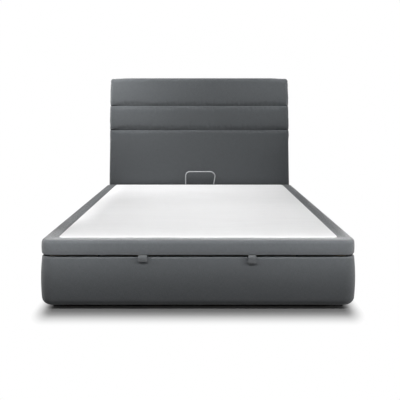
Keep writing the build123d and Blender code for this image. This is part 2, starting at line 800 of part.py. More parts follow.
def frame_core(z0, z1, u0=FRAME_BACK, u1=FRAME_FRONT):
    """A slab of the headboard's inner width."""
    return tapered_slab(u0, u1, z0, z1, SIDE_WRAP)


def headboard_stile(sign_x, bolts):
    """One upright of the headboard's frame."""
    top = HEADBOARD_HEIGHT - TOP_WRAP
    inner = headboard_half(0) - SIDE_WRAP - STILE
    stile = frame_core(UNDERSIDE, top) - block(-inner, inner, FRAME_BACK - 5, FRAME_FRONT + 5, 0, top + 5)
    keep = block(0, 800, FRAME_BACK - 5, FRAME_FRONT + 5, 0, top + 5)
    stile = stile & keep
    stile = stile if sign_x > 0 else left_of(stile)
    return stile - bolts


def headboard_rails():
    """Cross rails between the two uprights."""
    inner = headboard_half(0) - SIDE_WRAP - STILE
    return [block(-inner, inner, FRAME_BACK, FRAME_FRONT, z0, z1) for z0, z1 in CROSS_RAILS]


def headboard_board(bolts):
    """The thin board that backs the foam."""
    return frame_core(UNDERSIDE, HEADBOARD_HEIGHT - TOP_WRAP, FRAME_FRONT, BOARD_FRONT) - bolts


def headboard_lining():
    """Dark cloth over the back of the frame."""
    return frame_core(UNDERSIDE, HEADBOARD_HEIGHT - TOP_WRAP, BACK_U, FRAME_BACK)


BOLT_X = 672
BOLT_Z = (90, 190)


def headboard_bolts():
    """Bolts through the base's head end into the headboard's uprights."""
    length = FRAME_BACK + 20 - END_IN
    return [piece for z in BOLT_Z for piece in both_sides(bolt_along(BOLT_X, END_IN, z, length))]


def headboard_glides():
    """Plastic feet under the headboard's uprights."""
    x = headboard_half(0) - SIDE_WRAP - STILE / 2
    return both_sides(glide(x, (FRAME_BACK + FRAME_FRONT) / 2, UNDERSIDE))


def open_pivot_error(steps=60):
    """Greatest distance between the link's end and the lid's lower pin over the whole travel."""
    worst = 0
    for step in range(steps + 1):
        share = step / steps
        pin = turned(LID_ARM_PIN, ARM_PIVOT, -ARM_TRAVEL * share)
        moved = (LID_LINK_PIN[0] + pin[0] - LID_ARM_PIN[0], LID_LINK_PIN[1] + pin[1] - LID_ARM_PIN[1])
        on_lid = turned(moved, pin, LID_TRAVEL * share)
        on_link = turned(LID_LINK_PIN, LINK_PIVOT, -LINK_TRAVEL * share)
        worst = max(worst, hypot(on_lid[0] - on_link[0], on_lid[1] - on_link[1]))
    return worst


def build_nodes():
    """Every sub-part by name, as one shape or a list of separate ones."""
    corner = corner_bolts()
    head_bolts = headboard_bolts()
    plates = plate_bolts()
    brackets = bracket_bolts()
    all_plate_bolts = plates + [left_of(bolt) for bolt in plates]
    all_bracket_bolts = brackets + [left_of(bolt) for bolt in brackets]
    into_base = corner + all_plate_bolts
    bar = stop_bar()
    sockets = bar_sockets(bar)
    cylinder, rod = laid_strut(gas_cylinder()), laid_strut(gas_rod())
    pins = base_pivots()
    lid_pins = lid_pivots()
    arm_stud = strut_stud(ARM_STUD, *ARM)
    posts = [corner_post(sx, foot) for sx in (1, -1) for foot in (True, False)]
    holes = sockets + [bar]
    nodes = {
        "base_left_panel": side_panel(-1, into_base),
        "base_right_panel": side_panel(1, into_base),
        "base_foot_panel": end_panel(True, corner),
        "base_head_panel": end_panel(False, corner + head_bolts),
        "base_corner_posts": [post - (corner + head_bolts) for post in posts],
        "base_corner_bolts": corner,
        "base_cover": base_cover() - head_bolts,
        "floor_cleats": floor_cleats(),
        "floor_centre_rail": centre_rail(),
        "floor_cross_rails": cross_rails(),
        "left_floor_board": floor_board(-1),
        "right_floor_board": floor_board(1),
        "base_glides": glides(),
        "rim_bumpers": rim_bumpers(),
        "left_base_plate": left_of(base_plate()),
        "right_base_plate": base_plate(),
        "base_plate_bolts": all_plate_bolts,
        "left_base_pivots": [left_of(pin) for pin in pins],
        "right_base_pivots": pins,
        "left_main_arm": left_of(main_arm()),
        "right_main_arm": main_arm(),
        "left_arm_stud": left_of(arm_stud),
        "right_arm_stud": arm_stud,
        "left_control_link": left_of(control_link()),
        "right_control_link": control_link(),
        "left_gas_cylinder": left_of(cylinder),
        "right_gas_cylinder": cylinder,
        "left_gas_rod": left_of(rod),
        "right_gas_rod": rod,
        "left_lid_bracket": left_of(lid_bracket()),
        "right_lid_bracket": lid_bracket(),
        "left_lid_pivots": [left_of(pin) for pin in lid_pins],
        "right_lid_pivots": lid_pins,
        "lid_pivot_washers": pivot_washers(),
        "lid_bracket_bolts": all_bracket_bolts,
        "lid_left_rail": lid_side_rail(-1, all_bracket_bolts),
        "lid_right_rail": lid_side_rail(1, all_bracket_bolts),
        "lid_foot_rail": lid_end_rail(True),
        "lid_head_rail": lid_end_rail(False),
        "lid_cross_battens": lid_battens(),
        "lid_deck_board": deck_board() - holes,
        "lid_top_pad": top_pad() - holes,
        "lid_border": lid_border() - holes,
        "lid_underside_lining": underside_lining(all_bracket_bolts),
        "mattress_stop_bar": bar,
        "stop_bar_sockets": sockets,
        "left_pull_tab": pull_tab(*LEFT_TAB),
        "right_pull_tab": pull_tab(*RIGHT_TAB),
        "headboard_left_stile": headboard_stile(-1, head_bolts),
        "headboard_right_stile": headboard_stile(1, head_bolts),
        "headboard_cross_rails": headboard_rails(),
        "headboard_board": headboard_board(head_bolts),
        "headboard_cover": headboard_cover() - head_bolts,
        "headboard_back_lining": headboard_lining(),
        "headboard_bolts": head_bolts,
        "headboard_glides": headboard_glides(),
    }
    return nodes


def write_nodes():
    """Write each sub-part to its own file."""
    os.makedirs("parts", exist_ok=True)
    for name, shape in build_nodes().items():
        if isinstance(shape, list):
            shape = Compound(children=shape)
        export_step(shape, f"parts/{name}.step")


write_nodes()
print("head end at y", HEAD_Y, "arm stud", ARM_STUD, "base stud", BASE_STUD)
print("greatest error at the opened pivot", round(open_pivot_error(), 3))
print("strut closed", round(STRUT_CLOSED, 1), "open", round(STRUT_OPEN, 1), "stroke", round(STROKE, 1))
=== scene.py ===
import json
from math import atan2, cos, degrees, pi, radians, sin, tan

import bpy
import numpy as np
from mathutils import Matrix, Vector, noise


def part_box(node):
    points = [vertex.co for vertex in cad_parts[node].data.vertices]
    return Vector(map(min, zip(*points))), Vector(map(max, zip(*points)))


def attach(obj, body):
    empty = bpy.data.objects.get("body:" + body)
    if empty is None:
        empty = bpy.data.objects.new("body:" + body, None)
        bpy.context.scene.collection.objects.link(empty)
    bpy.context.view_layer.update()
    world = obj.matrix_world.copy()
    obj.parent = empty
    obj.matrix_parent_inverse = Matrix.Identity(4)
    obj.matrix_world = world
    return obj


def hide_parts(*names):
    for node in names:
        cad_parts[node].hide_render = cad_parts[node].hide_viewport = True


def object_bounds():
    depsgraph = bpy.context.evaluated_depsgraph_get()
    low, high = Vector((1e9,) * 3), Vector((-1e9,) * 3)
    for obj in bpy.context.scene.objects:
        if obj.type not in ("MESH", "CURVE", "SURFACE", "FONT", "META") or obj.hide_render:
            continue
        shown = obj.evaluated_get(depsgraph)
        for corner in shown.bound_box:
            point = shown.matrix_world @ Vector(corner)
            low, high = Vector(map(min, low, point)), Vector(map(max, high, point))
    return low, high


# Ottoman storage bed, in metres, in the frame's own axes: X across, Y towards the headboard, Z up.
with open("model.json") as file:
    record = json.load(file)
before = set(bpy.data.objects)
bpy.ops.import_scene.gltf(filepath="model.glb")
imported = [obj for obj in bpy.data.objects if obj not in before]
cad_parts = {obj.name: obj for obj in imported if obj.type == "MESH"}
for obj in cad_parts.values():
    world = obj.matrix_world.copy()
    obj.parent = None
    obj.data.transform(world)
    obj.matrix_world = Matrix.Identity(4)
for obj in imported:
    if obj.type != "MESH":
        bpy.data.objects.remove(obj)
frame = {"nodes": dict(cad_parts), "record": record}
cad_low, cad_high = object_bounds()

# The base
BASE_HALF_WIDTH = 0.750
BASE_CORNER = 0.060
BASE_CROWN = 0.0065
BASE_FOOT_OUT = 0.0035
BASE_LOW_ROUND = 0.036
BASE_TOP_ROUND = 0.008
UNDERSIDE = 0.015
RIM = 0.258
RIM_SEEN = 0.2515
RIM_FALL = 0.0008
COVER = 0.015
PANEL = 0.018
HEM_LOW = 0.0127
HEM_HIGH = 0.0077
BACKING_GAP = 0.0003
# Where the dark lining cloth covers the rim's inside: painted shade that keeps the gap under the lid dark
PAINTED_SHADE_FROM = -0.006
PAINTED_SHADE_ABOVE = 0.05

# The rubber pads on the base's rim
BUMPER_HALF = 0.0065
BUMPER_IN = 0.021
BUMPER_X = 0.470
BUMPER_YS = (0.7788, -0.0912, -0.7912)
BUMPER_SUNK = 0.0035
BUMPER_DOME = ((1.0, 0.0030), (0.96, 0.0016), (0.86, 0.0006), (0.68, 0.0001), (0.45, 0.0))

# The lid
LID_UNDERSIDE = 0.266
LID_TOP = 0.332
DECK_TOP = 0.314
LID_LOW_ROUND = 0.006
LID_TOP_ROUND = 0.017
LID_HANG = 0.0042
LID_ROLL = 0.013
ROLL_EASE = ((0.0010, 0.0012), (0.0028, 0.0))
FACE_SWELL = 0.0012
BORDER_CROWN = 0.0016
BORDER_SHARES = (0.12, 0.25, 0.4, 0.55, 0.7, 0.82, 0.9, 0.95, 0.985, 1.0)
SEAM_DROP = 0.0045
SEAM_GAP = 0.0004
PAD_CORNER = 0.022
PAD_ROLL = 0.012
PAD_DROP = 0.0030
PAD_SIDE = 0.010
PAD_SWELL = 0.0012
PAD_EDGE = 0.09
PAD_BANDS = 0.0005
PAD_BAND_PITCH = 0.055
PAD_BAND_REACH = 0.34

# The headboard
HEADBOARD_ROUND = 0.022
HEADBOARD_FOOT_HALF = 0.738
HEADBOARD_HEIGHTS = (0.0, 0.33, 0.78, 1.0, 1.2)
HEADBOARD_HALVES = (0.7460, 0.7435, 0.7345, 0.7285, 0.7230)
FRAME_HALVES = (0.738, 0.727)
SIDE_WRAP = 0.014
TOP_WRAP = 0.022
TOP_CORNER_DROP = 0.007
TOP_CORNER_FROM = 0.58
BACK_TURN = 0.006
SEAMS = (0.776, 0.973)
SEAM_DEPTH = 0.0036
STITCH_DEPTH = 0.0045
STITCH_REACH = 0.0045
DIP_BELOW = (0.024, 2.6)
DIP_ABOVE = (0.045, 2.1)
CHANNEL_SWELL = 0.0030
PANEL_FULL_FROM = 0.33
PANEL_SWELL = 0.0045
SIDE_DIP = 0.55
SIDE_UNEVEN = 0.4

# The headboard's grid
SEAM_STEPS = (0, 0.0015, 0.004, 0.0075, 0.012, 0.017, 0.023, 0.029, 0.036, 0.043, 0.051, 0.060)
BACK_STEPS = (0.050, 0.066, 0.078, 0.084, 0.088, 0.090)
COLUMN = 0.0075
ROW = 0.010

# The headboard's loose cloth, and how far it may blow out
CLOTH_QUALITY = 4
CLOTH_MASS = 0.3
CLOTH_STIFFNESS = 12.0
CLOTH_SHEAR = 4.0
CLOTH_BENDING = 0.08
CLOTH_SLACK = 0.008
CLOTH_PRESSURE = 0.6
CLOTH_FRAMES = 20
CLOTH_CAP = 0.0034
HELD_BACK = 0.045
HELD_FOOT = 0.020
HELD_SEAM = 0.0005

# Unevenness of the soft pieces: depth and the size that it changes over, and what stays even
BASE_SLOW = (0.0011, 0.34)
BASE_QUICK = (0.0004, 0.075)
BASE_EVEN_FOOT = 0.006
BASE_EVEN_RIM = 0.003
BORDER_QUICK = (0.0004, 0.085)
BORDER_SLOW = (0.0005, 0.30)
BORDER_EVEN = 0.010
PAD_SLOW = (0.0009, 0.22)
HEADBOARD_SLOW = (0.0012, 0.26)
HEADBOARD_QUICK = (0.0006, 0.11)
PUCKER_QUICK = (0.0011, 0.030)
PUCKER_SLOW = (0.0013, 0.085)
PUCKER_ABOVE = 0.030
PUCKER_BELOW = 0.020

# The linings, and how far from their edges they hang free
SHEET_THICK = 0.0006
SHEET_GAP = 0.0001
LID_SAG = 0.0016
LID_FREE = (0.09, 0.30)
BACK_SAG = 0.0012
BACK_FREE = (0.02, 0.12)
BACK_LAP = 0.007

# The pull tabs
WEBBING = 0.0015
TAB_FOLD = 0.0028
TAB_OUT = 0.0036
TAB_RUN_IN = (0.036, 0.026, 0.018)
TAB_BENDS = (0.0085, 0.0055)
TAB_CURL = 0.0009
TAB_WAVE = 0.0005
TAB_TILT = 0.0006
TAB_TOP = LID_UNDERSIDE - LID_HANG - WEBBING * 0.6

# The mattress stop bar
BAR_RADIUS = 0.004
BAR_LEFT = -0.111
BAR_RIGHT = 0.125
BAR_RIGHT_LEAN = 0.013
BAR_HEIGHT = 0.109
BAR_BENDS = (0.033, 0.041)

# The floor and its painted shadow, and the camera
PAINTED_SHADOW_HALF_WIDTH = 0.680
PAINTED_SHADOW_FRONT_IN = 0.021
PAINTED_SHADOW_BACK_IN = 0.060
PAINTED_SHADOW_SIDE_REACH = 0.10
PAINTED_SHADOW_END_REACH = 0.20
PAINTED_SHADOW_FADE = ((0.15, 0.0), (0.36, 0.16), (0.60, 0.56), (0.84, 0.88), (1.0, 1.0))
FLOOR_GREY = 0.22
BOUNCE = 0.17
FLOOR_REACH = 30.0
AMBIENT = 0.05
CAMERA_PLACE = (0.014, -3.5145, 0.9541)
CAMERA_PITCH = 3.0
CAMERA_SHIFT = (-0.0024, -0.1585)
CAMERA_LENS = 48.837

cover_low, cover_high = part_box("base_cover")
border_low, border_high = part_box("lid_border")
pad_low, pad_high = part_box("lid_top_pad")
headboard_low, headboard_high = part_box("headboard_cover")
bar_low, bar_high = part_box("mattress_stop_bar")

BASE_MID_Y = (cover_low.y + cover_high.y) / 2
BASE_HALF_LENGTH = (cover_high.y - cover_low.y) / 2 - (cover_high.x - BASE_HALF_WIDTH)
LID_MID_Y = (border_low.y + border_high.y) / 2
LID_HALF_LENGTH = (border_high.y - border_low.y) / 2
HEADBOARD_TOP = headboard_high.z
HEADBOARD_FRONT = headboard_low.y
HEADBOARD_BACK = headboard_high.y


# Numbers and curves

def smooth(value, low, high):
    """A smooth step from 0 at low to 1 at high."""
    share = np.clip((value - low) / (high - low), 0.0, 1.0)
    return share * share * (3 - 2 * share)


def wander(points, unevenness, seed, stretch=(1, 1, 1)):
    """Smooth random depths at the points, from an unevenness of a depth and a size in metres."""
    depth, size = unevenness
    shift = Vector((seed * 7.31, seed * 3.17, seed * 5.73))
    scale = [s / size for s in stretch]
    places = [Vector([c * s for c, s in zip(p, scale)]) + shift for p in points]
    return depth * np.array([noise.noise(place) for place in places])


def arc(centre, radius, start, turn, steps):
    """Points on an arc in a section, from a start angle through a turn, both in degrees."""
    angles = np.radians(np.linspace(start, start + turn, steps + 1))
    return [(centre[0] + radius * cos(a), centre[1] + radius * sin(a)) for a in angles]


def line(a, b, steps):
    """Points between two points of a section, without the ends."""
    shares = np.linspace(0, 1, steps + 1)[1:-1]
    return [(a[0] + (b[0] - a[0]) * s, a[1] + (b[1] - a[1]) * s) for s in shares]


# Meshes

def mesh_object(name, points, faces, sharp_above=None):
    """A smooth-shaded mesh object at the origin, from points in the frame."""
    mesh = bpy.data.meshes.new(name)
    mesh.from_pydata([tuple(p) for p in points], [], [tuple(f) for f in faces])
    mesh.validate()
    mesh.shade_smooth()
    obj = bpy.data.objects.new(name, mesh)
    bpy.context.scene.collection.objects.link(obj)
    if sharp_above is not None:
        mesh.set_sharp_from_angle(angle=radians(sharp_above))
    return obj


def rounded_loop(half_x, y0, y1, corner, corner_steps=10, end_steps=60, side_steps=76):
    """Plan points of a rounded rectangle, always as many and in the same order."""
    x, low, high = half_x - corner, y0 + corner, y1 - corner
    centres = (((x, high), 0), ((-x, high), 90), ((-x, low), 180), ((x, low), 270))
    runs = (end_steps, side_steps, end_steps, side_steps)
    loop = []
    for number, ((cx, cy), start) in enumerate(centres):
        turn = arc((cx, cy), corner, start, 90, corner_steps)
        (nx, ny), begin = centres[(number + 1) % 4]
        after = (nx + corner * cos(radians(begin)), ny + corner * sin(radians(begin)))
        loop += turn + line(turn[-1], after, runs[number])
    return loop


def ring_faces(loops, size):
    """Faces of a closed ring of loops, each with the same number of points."""
    faces = []
    for i in range(loops):
        a, b = i * size, ((i + 1) % loops) * size
        for j in range(size):
            k = (j + 1) % size
            faces.append((a + j, a + k, b + k, b + j))
    return faces


def box_skin(xs, ys, zs, open_sides=()):
    """Points and faces of a box's skin on a grid of planes. Open sides are named like 'y+'."""
    index, points, faces = {}, [], []
    planes = (xs, ys, zs)

    def vertex(key):
        if key not in index:
            index[key] = len(points)
            points.append([planes[axis][key[axis]] for axis in range(3)])
        return index[key]

    for axis, name in enumerate("xyz"):
        u, v = (axis + 1) % 3, (axis + 2) % 3
        for end, sign in ((0, "-"), (len(planes[axis]) - 1, "+")):
            if name + sign in open_sides:
                continue
            for i in range(len(planes[u]) - 1):
                for j in range(len(planes[v]) - 1):
                    corners = []
                    for di, dj in ((0, 0), (1, 0), (1, 1), (0, 1)):
                        key = [0, 0, 0]
                        key[axis], key[u], key[v] = end, i + di, j + dj
                        corners.append(vertex(tuple(key)))
                    faces.append(corners if sign == "+" else corners[::-1])
    return np.array(points), faces


def shell(outer, inner, faces):
    """One closed mesh from an open skin and its inner twin."""
    count = len(outer)
    edges = {}
    for face in faces:
        for a, b in zip(face, face[1:] + face[:1]):
            edges[(a, b)] = True
    rims = [(a, b) for a, b in edges if (b, a) not in edges]
    closed = [list(f) for f in faces] + [[v + count for v in f[::-1]] for f in faces]
    closed += [[b, a, a + count, b + count] for a, b in rims]
    return np.vstack([outer, inner]), closed


def tube(name, path, radius, sides=20):
    """A round wire along points in a plane of constant Y, with flat ends."""
    path = np.array(path)
    points, faces = [], []
    for i, centre in enumerate(path):
        ahead = path[min(i + 1, len(path) - 1)] - path[max(i - 1, 0)]
        ahead = ahead / np.linalg.norm(ahead)
        side = np.array((0.0, 1.0, 0.0))
        up = np.cross(ahead, side)
        for j in range(sides):
            a = 2 * pi * j / sides
            points.append(centre + radius * (cos(a) * side + sin(a) * up))
    for i in range(len(path) - 1):
        for j in range(sides):
            k = (j + 1) % sides
            faces.append((i * sides + j, i * sides + k, (i + 1) * sides + k, (i + 1) * sides + j))
    last = (len(path) - 1) * sides
    faces.append(tuple(range(sides))[::-1])
    faces.append(tuple(last + j for j in range(sides)))
    return mesh_object(name, points, faces, sharp_above=50)


def piece(obj, material, body, slot, *nodes):
    """Give a piece its material and its body, and hide the nodes that it stands for; slot is not used."""
    if material:
        obj.data.materials.append(material)
    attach(obj, body)
    if nodes:
        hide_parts(*nodes)
    return obj


# Materials

def new_material(name, roughness, metallic=0.0, specular=0.5, sheen=0.0):
    """An empty material with plain numbers on its shader, its node tree and its shader."""
    material = bpy.data.materials.new(name)
    material.use_nodes = True
    shader = material.node_tree.nodes["Principled BSDF"]
    shader.inputs["Roughness"].default_value = roughness
    shader.inputs["Metallic"].default_value = metallic
    shader.inputs["Specular IOR Level"].default_value = specular
    shader.inputs["Sheen Weight"].default_value = sheen
    shader.inputs["Sheen Roughness"].default_value = 0.45
    return material, material.node_tree, shader


def node(tree, kind, inputs=None, **options):
    """Add a node, set its options, and set or link its inputs."""
    made = tree.nodes.new("ShaderNode" + kind)
    for name, value in options.items():
        setattr(made, name, value)
    for key, value in (inputs or {}).items():
        if isinstance(value, bpy.types.NodeSocket):
            tree.links.new(value, made.inputs[key])
        else:
            made.inputs[key].default_value = value
    return made


def maths(tree, operation, a, b=0.0):
    """One number from two."""
    return node(tree, "Math", {0: a, 1: b}, operation=operation).outputs[0]


def place_of(tree):
    """The point on the object, in metres."""
    return node(tree, "TexCoord").outputs["Object"]


def noise_of(tree, place, scale, detail=3.0, roughness=0.55, distortion=0.0):
    """Smooth random numbers from 0 to 1, with a scale in features per metre."""
    inputs = {"Vector": place, "Scale": scale, "Detail": detail, "Roughness": roughness,
              "Distortion": distortion}
    return node(tree, "TexNoise", inputs).outputs["Fac"]


def stretched(tree, place, scale):
    """The place with each axis scaled."""
    return node(tree, "Mapping", {"Vector": place, "Scale": scale}).outputs[0]


def ramp(tree, value, *stops):
    """A colour ramp through (place, colour) stops."""
    made = node(tree, "ValToRGB", {0: value})
    elements = made.color_ramp.elements
    while len(elements) < len(stops):
        elements.new(0.5)
    for element, (where, colour) in zip(elements, stops):
        element.position = where
        element.color = (*colour, 1)
    return made.outputs[0]


def mixed(tree, share, a, b, blend="MIX"):
    """Mix two colours."""
    return node(tree, "MixRGB", {0: share, 1: a, 2: b}, blend_type=blend).outputs[0]


def bump(tree, shader, height, depth, strength=1.0):
    """Raise the surface by a height from 0 to 1, times a depth in metres."""
    made = node(tree, "Bump", {"Height": height, "Distance": depth, "Strength": strength})
    tree.links.new(made.outputs[0], shader.inputs["Normal"])


def shade(colour, factor):
    """A lighter or darker colour."""
    return tuple(min(c * factor, 1.0) for c in colour)


def either(tree, choice, a, b):
    """The number a where choice is 0, and b where it is 1."""
    return maths(tree, "ADD", a, maths(tree, "MULTIPLY", choice, maths(tree, "SUBTRACT", b, a)))


def cloth_axes(tree, place):
    """Places across and up the cloth, picked by the way that the surface faces."""
    normal = node(tree, "SeparateXYZ", {0: node(tree, "TexCoord").outputs["Normal"]}).outputs
    facing = [maths(tree, "ABSOLUTE", part) for part in normal]
    sideways = maths(tree, "GREATER_THAN", facing[0], facing[1])
    flat = maths(tree, "GREATER_THAN", facing[2], 0.72)
    at = node(tree, "SeparateXYZ", {0: place}).outputs
    across = either(tree, sideways, at[0], at[1])
    inwards = either(tree, sideways, at[1], at[0])
    upward = either(tree, flat, at[2], inwards)
    return node(tree, "CombineXYZ", {0: across, 1: upward}).outputs[0], (across, upward)


def woven(name, colour, pitch=0.0024, depth=0.0006, contrast=0.22, mottle=0.05, sheen=0.40):
    """Plain woven cloth: uneven warp and weft threads, a mottled dye and a soft sheen."""
    material, tree, shader = new_material(name, 0.92, specular=0.25, sheen=sheen)
    place = place_of(tree)
    threads, axes = cloth_axes(tree, place)
    wobble = maths(tree, "MULTIPLY", noise_of(tree, place, 90, 2), pitch * 1.4)
    warp_at, weft_at = [maths(tree, "ADD", axis, wobble) for axis in axes]
    warp = maths(tree, "COSINE", maths(tree, "MULTIPLY", warp_at, pi / pitch))
    weft = maths(tree, "COSINE", maths(tree, "MULTIPLY", weft_at, pi / pitch))
    crossing = maths(tree, "MULTIPLY", warp, weft)
    thread = maths(tree, "ABSOLUTE", crossing)
    over = maths(tree, "GREATER_THAN", crossing, 0.0)
    long_slubs = noise_of(tree, stretched(tree, threads, (60, 900, 1)), 1, 2)
    wide_slubs = noise_of(tree, stretched(tree, threads, (900, 60, 1)), 1, 2)
    slubs = node(tree, "MixRGB", {0: over, 1: wide_slubs, 2: long_slubs}).outputs[0]
    yarn = ramp(tree, slubs, (0.3, shade(colour, 1 - contrast)), (0.7, shade(colour, 1 + contrast)))
    dye = noise_of(tree, place, 34, 4, 0.6)
    patches = ramp(tree, dye, (0.3, (1 - mottle,) * 3), (0.7, (1.0,) * 3))
    cloth = mixed(tree, 1.0, yarn, patches, "MULTIPLY")
    # Painted shade: the cloth darkens in the hollows between the threads
    shaded_gaps = ramp(tree, thread, (0.0, (0.72,) * 3), (0.45, (1.0,) * 3))
    tree.links.new(mixed(tree, 1.0, cloth, shaded_gaps, "MULTIPLY"), shader.inputs["Base Color"])
    bump(tree, shader, thread, depth, 0.6)
    return material


def ticking(name, colour):
    """Pale breathable cloth with a fine open mesh and faint bands across the bed."""
    material, tree, shader = new_material(name, 0.85, specular=0.3, sheen=0.1)
    place = place_of(tree)
    axes = node(tree, "SeparateXYZ", {0: place}).outputs
    pitch = 0.0032
    columns = maths(tree, "COSINE", maths(tree, "MULTIPLY", axes[0], 2 * pi / pitch))
    rows = maths(tree, "COSINE", maths(tree, "MULTIPLY", axes[1], 2 * pi / pitch))
    holes = maths(tree, "MULTIPLY", columns, rows)
    mesh = ramp(tree, holes, (0.55, (1.0,) * 3), (0.95, (0.90,) * 3))
    soft = noise_of(tree, stretched(tree, place, (3, 26, 3)), 1, 3)
    bands = ramp(tree, soft, (0.35, shade(colour, 0.975)), (0.65, shade(colour, 1.0)))
    tree.links.new(mixed(tree, 1.0, bands, mesh, "MULTIPLY"), shader.inputs["Base Color"])
    bump(tree, shader, holes, 0.0003, 0.4)
    return material


def felted(name, colour):
    """Thin bonded lining cloth with pressed dots."""
    material, tree, shader = new_material(name, 0.95, specular=0.2)
    place = place_of(tree)
    fibres = noise_of(tree, place, 420, 4, 0.7)
    dots = node(tree, "TexVoronoi", {"Vector": place, "Scale": 380.0}).outputs["Distance"]
    cloth = ramp(tree, fibres, (0.25, shade(colour, 0.7)), (0.75, shade(colour, 1.5)))
    tree.links.new(cloth, shader.inputs["Base Color"])
    bump(tree, shader, maths(tree, "ADD", fibres, dots), 0.0003, 0.5)
    return material


def timber(name, pale, dark, along, gloss=0.55, figure=1.0):
    """Planed wood with its grain along one axis: growth bands and pores."""
    material, tree, shader = new_material(name, gloss, specular=0.4)
    place = place_of(tree)
    squeeze = [26.0 * figure] * 3
    squeeze["xyz".index(along)] = 1.6 * figure
    bands = noise_of(tree, stretched(tree, place, squeeze), 1, 5, 0.6, 1.2)
    fine = [900.0] * 3
    fine["xyz".index(along)] = 25.0
    pores = noise_of(tree, stretched(tree, place, fine), 1, 2)
    wood = ramp(tree, bands, (0.32, dark), (0.5, shade(pale, 0.93)), (0.68, pale))
    grain = ramp(tree, pores, (0.35, (0.82,) * 3), (0.55, (1.0,) * 3))
    tree.links.new(mixed(tree, 1.0, wood, grain, "MULTIPLY"), shader.inputs["Base Color"])
    bump(tree, shader, pores, 0.0002, 0.4)
    return material


def particle_board(name, pale, dark):
    """Raw pressed-chip board."""
    material, tree, shader = new_material(name, 0.8, specular=0.3)
    place = place_of(tree)
    cells = node(tree, "TexVoronoi", {"Vector": place, "Scale": 380.0}).outputs["Color"]
    grey = node(tree, "RGBToBW", {0: cells}).outputs[0]
    chips = ramp(tree, grey, (0.2, dark), (0.8, pale))
    dust = noise_of(tree, place, 30, 3)
    tone = ramp(tree, dust, (0.3, (0.88,) * 3), (0.7, (1.0,) * 3))
    tree.links.new(mixed(tree, 1.0, chips, tone, "MULTIPLY"), shader.inputs["Base Color"])
    bump(tree, shader, grey, 0.0002, 0.4)
    return material


def metal(name, colour, roughness, metallic=1.0, wear=0.18, bumps=0.00008):
    """Plated or painted steel with faint scuffs and an uneven gloss."""
    material, tree, shader = new_material(name, roughness, metallic)
    place = place_of(tree)
    scuffs = noise_of(tree, stretched(tree, place, (220, 60, 220)), 1, 5, 0.65)
    tone = ramp(tree, scuffs, (0.3, shade(colour, 1 - wear)), (0.7, shade(colour, 1 + wear * 0.4)))
    tree.links.new(tone, shader.inputs["Base Color"])
    limits = {"To Min": roughness * 0.8, "To Max": roughness * 1.25}
    spread = node(tree, "MapRange", {"Value": scuffs, **limits})
    tree.links.new(spread.outputs[0], shader.inputs["Roughness"])
    bump(tree, shader, noise_of(tree, place, 600, 3), bumps, 0.5)
    return material


def plastic(name, colour, roughness, specular=0.4):
    """Moulded plastic or rubber with a fine spark texture."""
    material, tree, shader = new_material(name, roughness, specular=specular)
    place = place_of(tree)
    grain = noise_of(tree, place, 900, 2, 0.6)
    tone = ramp(tree, noise_of(tree, place, 60, 3), (0.3, shade(colour, 0.85)), (0.7, colour))
    tree.links.new(tone, shader.inputs["Base Color"])
    bump(tree, shader, grain, 0.0001, 0.5)
    return material


GREY = (0.103, 0.110, 0.117)
TAB_GREY = (0.110, 0.116, 0.122)
WHITE = (0.87, 0.87, 0.875)
LINING = (0.030, 0.031, 0.034)
PINE = (0.62, 0.44, 0.25)
PINE_DARK = (0.46, 0.29, 0.14)
PLY = (0.60, 0.46, 0.29)
PLY_DARK = (0.47, 0.33, 0.19)

MATERIALS = {
    "board": particle_board("board", (0.50, 0.40, 0.27), (0.30, 0.21, 0.12)),
    "timber_x": timber("timber_x", PINE, PINE_DARK, "x"),
    "timber_y": timber("timber_y", PINE, PINE_DARK, "y"),
    "timber_z": timber("timber_z", PINE, PINE_DARK, "z"),
    "plywood": timber("plywood", PLY, PLY_DARK, "x", figure=0.45),
    "grey_fabric": woven("grey_fabric", GREY),
    "tab_fabric": woven("tab_fabric", TAB_GREY, pitch=0.0018),
    "white_fabric": ticking("white_fabric", WHITE),
    "dark_lining": felted("dark_lining", LINING),
    "zinc_steel": metal("zinc_steel", (0.62, 0.62, 0.60), 0.34),
    "lift_steel": metal("lift_steel", (0.055, 0.056, 0.060), 0.45, metallic=0.0),
    "strut_tube": metal("strut_tube", (0.020, 0.020, 0.022), 0.30, metallic=0.0, bumps=0.00003),
    "strut_rod": metal("strut_rod", (0.72, 0.73, 0.75), 0.12, wear=0.08, bumps=0.00002),
    "bar_steel": metal("bar_steel", (0.42, 0.43, 0.44), 0.38, metallic=0.6, wear=0.12),
    "black_plastic": plastic("black_plastic", (0.025, 0.025, 0.026), 0.5),
    "bumper_rubber": plastic("bumper_rubber", (0.035, 0.035, 0.035), 0.75, specular=0.25),
}
TIMBER_GRAIN = {"base_corner_posts": "z", "floor_cleats": "y", "floor_centre_rail": "y",
                "floor_cross_rails": "x", "lid_left_rail": "y", "lid_right_rail": "y",
                "lid_foot_rail": "x", "lid_head_rail": "x", "lid_cross_battens": "x",
                "headboard_left_stile": "z", "headboard_right_stile": "z",
                "headboard_cross_rails": "x"}


def dress_frame():
    """Give every CAD node the finish of its slot."""
    slots = {part["node"]: part["material_slot"] for part in frame["record"]["subparts"]}
    for name, obj in frame["nodes"].items():
        finish = slots[name]
        if finish == "timber":
            finish = "timber_" + TIMBER_GRAIN[name]
        for slot in obj.material_slots:
            slot.material = MATERIALS[finish]


# Soft pieces

def ring_piece(section, plan):
    """A closed ring from a section of (out, z) points. plan gives a loop's plan for one out."""
    points = [(x, y, z) for out, z in section for x, y in plan(out)]
    return np.array(points), ring_faces(len(section), len(points) // len(section))


